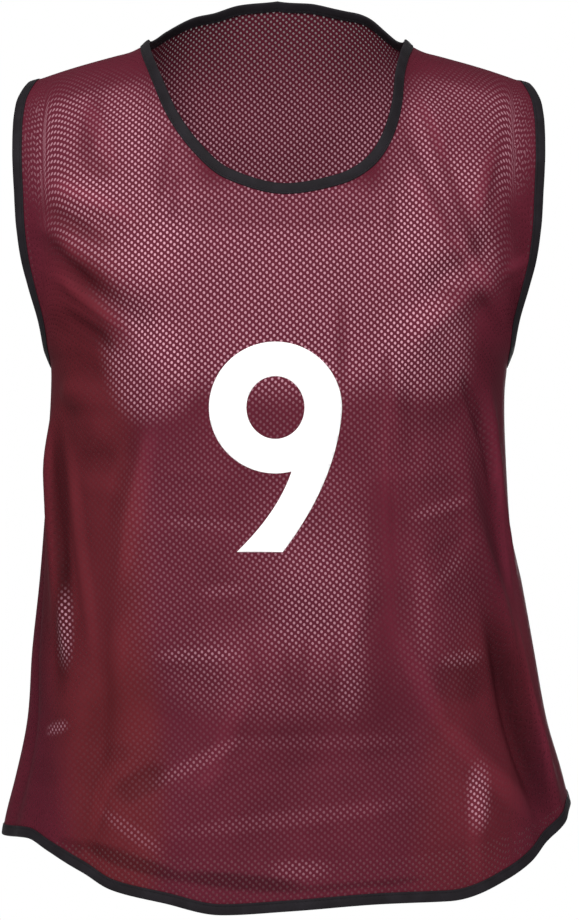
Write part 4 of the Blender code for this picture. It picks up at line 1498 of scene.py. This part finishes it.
@dataclass
class PrintedNumber:
    """A plain nine printed on the chest: a ring, and a leg curving down from it, in mm."""

    form: TorsoForm
    middle: tuple[float, float] = (-2.3, -274.4)
    ring_outer: tuple[float, float] = (49.7, 49.2)
    ring_inner: tuple[float, float] = (21.7, 23.5)
    foot_height: float = -382.3
    foot: tuple[float, float] = (-31.2, 3.2)
    leg_turns: tuple[float, float] = (-4, -76)
    inner_pull: tuple[float, float] = (2, -78)
    outer_pull: tuple[float, float] = (45, -56)
    ring_points: int = 90
    hole_points: int = 64
    wall: float = 0.16
    off_cloth: float = 0.3
    dice: float = 3.0
    diced: tuple[tuple[float, float], tuple[float, float]] = ((-60, 60), (-390, -200))
    finish: PrintFinish = field(default_factory=PrintFinish)

    def outlines(self) -> list[list[tuple[float, float]]]:
        """Works out the number's two outlines.

        Returns:
            The outer and the inner outline, as places across and up.
        """
        (cx, cz), (rx, rz) = self.middle, self.ring_outer
        start, end = (radians(turn) for turn in self.leg_turns)
        sweep = np.linspace(start, end + 2 * pi, self.ring_points)
        ring = [(cx + rx * cos(a), cz + rz * sin(a)) for a in sweep]
        foot_left, foot_right = ((across, self.foot_height) for across in self.foot)
        down = self.curve(ring[-1], (cx + self.inner_pull[0], cz + self.inner_pull[1]), foot_left)
        pull = (cx + self.outer_pull[0], cz + self.outer_pull[1])
        back_up = self.curve(foot_right, pull, ring[0])
        inner = [
            (cx + self.ring_inner[0] * cos(a), cz + self.ring_inner[1] * sin(a))
            for a in np.linspace(0, -2 * pi, self.hole_points, endpoint=False)
        ]
        return [[*ring, *down[1:], *back_up[:-1]], inner]

    @staticmethod
    def curve(
        start: tuple[float, float],
        pull: tuple[float, float],
        end: tuple[float, float],
        count: int = 24,
    ) -> list[tuple[float, float]]:
        """A simple curve between two places, drawn towards a third."""
        ways = tuple(zip(start, pull, end))
        return [
            tuple((1 - t) ** 2 * a + 2 * t * (1 - t) * b + t * t * c for a, b, c in ways)
            for t in np.linspace(0, 1, count)
        ]

    def build(self) -> bmesh.types.BMesh:
        """Builds the print.

        Returns:
            The open print on the cloth's outer face, with the UV map "cut".
        """
        drawing = bpy.data.curves.new("number_outline", "CURVE")
        drawing.dimensions, drawing.fill_mode = "2D", "BOTH"
        for outline in self.outlines():
            spline = drawing.splines.new("POLY")
            spline.points.add(len(outline) - 1)
            for point, (across, up) in zip(spline.points, outline):
                point.co = (across, up, 0, 1)
            spline.use_cyclic_u = True
        holder = bpy.data.objects.new("number_outline", drawing)
        flat = bpy.data.meshes.new_from_object(holder)
        mesh = bmesh.new()
        mesh.from_mesh(flat)
        bpy.data.objects.remove(holder)
        bpy.data.curves.remove(drawing)
        bpy.data.meshes.remove(flat)
        bmesh.ops.remove_doubles(mesh, verts=mesh.verts, dist=1e-4)
        for axis, (low, high) in enumerate(self.diced):
            for cut in np.arange(low, high, self.dice):
                spot, way = [0.0, 0.0, 0.0], [0.0, 0.0, 0.0]
                spot[axis], way[axis] = cut, 1.0
                geometry = [*mesh.verts, *mesh.edges, *mesh.faces]
                bmesh.ops.bisect_plane(mesh, geom=geometry, plane_co=spot, plane_no=way, dist=1e-4)
        self.lay_on_cloth(mesh)
        return mesh

    def lay_on_cloth(self, mesh: bmesh.types.BMesh) -> None:
        """Moves the flat print onto the front panel and gives it its cut places."""
        flat = np.array([vertex.co[:2] for vertex in mesh.verts])
        places = self.form.places(flat[:, 0], flat[:, 1])
        out = self.form.directions(Face.FRONT, *places.T)[2]
        points = self.form.cloth(Face.FRONT, *places.T) + out * (self.off_cloth + self.wall / 2)
        uv = self.form.cut_places(Face.FRONT, places)
        layer = mesh.loops.layers.uv.new("cut")
        for vertex, point, place in zip(mesh.verts, points, uv):
            vertex.co = point * MM
            for loop in vertex.link_loops:
                loop[layer].uv = place
        for face in mesh.faces:
            face.normal_update()
            if face.normal.y > 0:
                face.normal_flip()

    def dress(self) -> bpy.types.Object:
        """Makes the print, with its thickness and finish."""
        white = self.finish.material("number_print")
        number = finish_piece("printed_number", self.build(), white)
        wall = number.modifiers.new("wall", "SOLIDIFY")
        wall.thickness, wall.offset = self.wall * MM, 0
        return number


@dataclass(frozen=True)
class Studio:
    """Pale floor, soft light and the camera, in metres."""

    eye: tuple[float, float, float] = (0.0082, -2.5, -0.3136)
    lens: float = 124.78
    floor_height: float = -1.04
    floor_radius: float = 2.2
    fade_from: float = 0.5
    fade_share: float = 0.96
    aim: tuple[float, float, float] = (0, 0, -0.3)
    back_share: float = 0.6
    surround: float = 0.36
    key_watts: float = 88.0
    fill_watts: float = 9.0

    def camera(self) -> None:
        """Sets the camera level, straight in front."""
        data = bpy.data.cameras.new("camera")
        data.lens, data.sensor_width, data.sensor_fit = self.lens, 36.0, "AUTO"
        data.clip_start, data.clip_end = 0.05, 50.0
        camera = bpy.data.objects.new("camera", data)
        camera.location, camera.rotation_euler = self.eye, (pi / 2, 0, 0)
        bpy.context.scene.collection.objects.link(camera)
        bpy.context.scene.camera = camera

    def floor(self) -> None:
        """Makes the floor, which fades out towards its rim."""
        mesh = bmesh.new()
        bmesh.ops.create_circle(mesh, cap_ends=True, segments=96, radius=self.floor_radius)
        bmesh.ops.translate(mesh, verts=mesh.verts, vec=(0, 0, self.floor_height))
        data = bpy.data.meshes.new("studio_floor")
        mesh.to_mesh(data)
        mesh.free()
        floor = bpy.data.objects.new("studio_floor", data)
        bpy.context.scene.collection.objects.link(floor)
        material, graph, shader = new_material("studio_floor_paint")
        place = graph.node("ShaderNodeTexCoord").outputs["Object"]
        level = graph.vector("MULTIPLY", {0: place, 1: (1, 1, 0)})
        away = graph.vector("LENGTH", {0: level}, "Value")
        gone = self.floor_radius * self.fade_share
        fade = graph.between(away, self.fade_from, gone, flip=True)
        paint = (0.86, 0.86, 0.86, 1)
        graph.feed(shader, {"Base Color": paint, "Roughness": 0.9, "Alpha": fade})
        data.materials.append(material)

    def lights(self) -> None:
        """Hangs three soft lamps and sets a pale surround."""
        lamps = (
            ("key_lamp", (-0.6, -2.4, 1.6), 1.3, self.key_watts),
            ("fill_lamp", (1.5, -2.2, 0.2), 1.4, self.fill_watts),
            ("back_lamp", (0.3, 2.8, -0.1), 1.4, self.key_watts * self.back_share),
        )
        for name, spot, size, watts in lamps:
            data = bpy.data.lights.new(name, "AREA")
            data.energy, data.size = watts, size
            lamp = bpy.data.objects.new(name, data)
            lamp.location, ray = spot, Vector(self.aim) - Vector(spot)
            lamp.rotation_euler = ray.to_track_quat("-Z", "Y").to_euler()
            bpy.context.scene.collection.objects.link(lamp)
        world = bpy.data.worlds.new("pale_surround")
        bpy.context.scene.world = world
        world.use_nodes = True
        graph = Graph(world.node_tree)
        shown = world.node_tree.nodes["Background"]
        shown.inputs["Color"].default_value = (1, 1, 1, 1)
        seen = graph.node("ShaderNodeLightPath").outputs["Is Camera Ray"]
        strength = graph.math("MULTIPLY_ADD", seen, 1.0 - self.surround, self.surround)
        graph.feed(shown, {"Strength": strength})
        bpy.context.scene.view_settings.view_transform = "Standard"

    def set_up(self) -> None:
        """Makes the whole studio."""
        self.camera()
        self.floor()
        self.lights()


def main() -> None:
    """Builds the bib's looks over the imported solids, in the order of sewing."""
    logging.basicConfig(level=logging.INFO, format="%(message)s")
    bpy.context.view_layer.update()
    form = TorsoForm()
    front, back = PanelCut(form, Face.FRONT), PanelCut(form, Face.BACK)

    seams = []
    for side, word in ((Side.RIGHT, "right"), (Side.LEFT, "left")):
        for kind, places in front.seam_places(side, SEAM_STATIONS).items():
            seams.append(SewnSeam(f"{kind}_seam_{word}", form, places).dress())
    neck = FoldedTape("neck_tape", "neck_binding", front.neck, back.neck).dress()
    hem = FoldedTape("hem_tape", "hem_binding", front.hem, back.hem).dress()
    arms = []
    for side, word in ((Side.RIGHT, "right"), (Side.LEFT, "left")):
        lines = front.armholes[side], back.armholes[side]
        arms += FoldedTape(f"armhole_tape_{word}", f"armhole_binding_{word}", *lines).dress()
    number = PrintedNumber(form).dress()
    sewn = [*neck, *hem, *arms, *seams]
    front_net = NetPanel("front_net", "front_panel", front, (0.56, 0.70), 0.297)
    front_net.dress([number, *sewn])
    thinner = NetFinish(see_through=0.4)
    back_net = NetPanel(
        "back_net", "back_panel", back, (0.56, 0.72), 0.312, fold_shading=0.03, finish=thinner
    )
    back_net.dress(sewn)

    Studio().set_up()
    LOG.info("all pieces built")


if __name__ == "__main__":
    main()
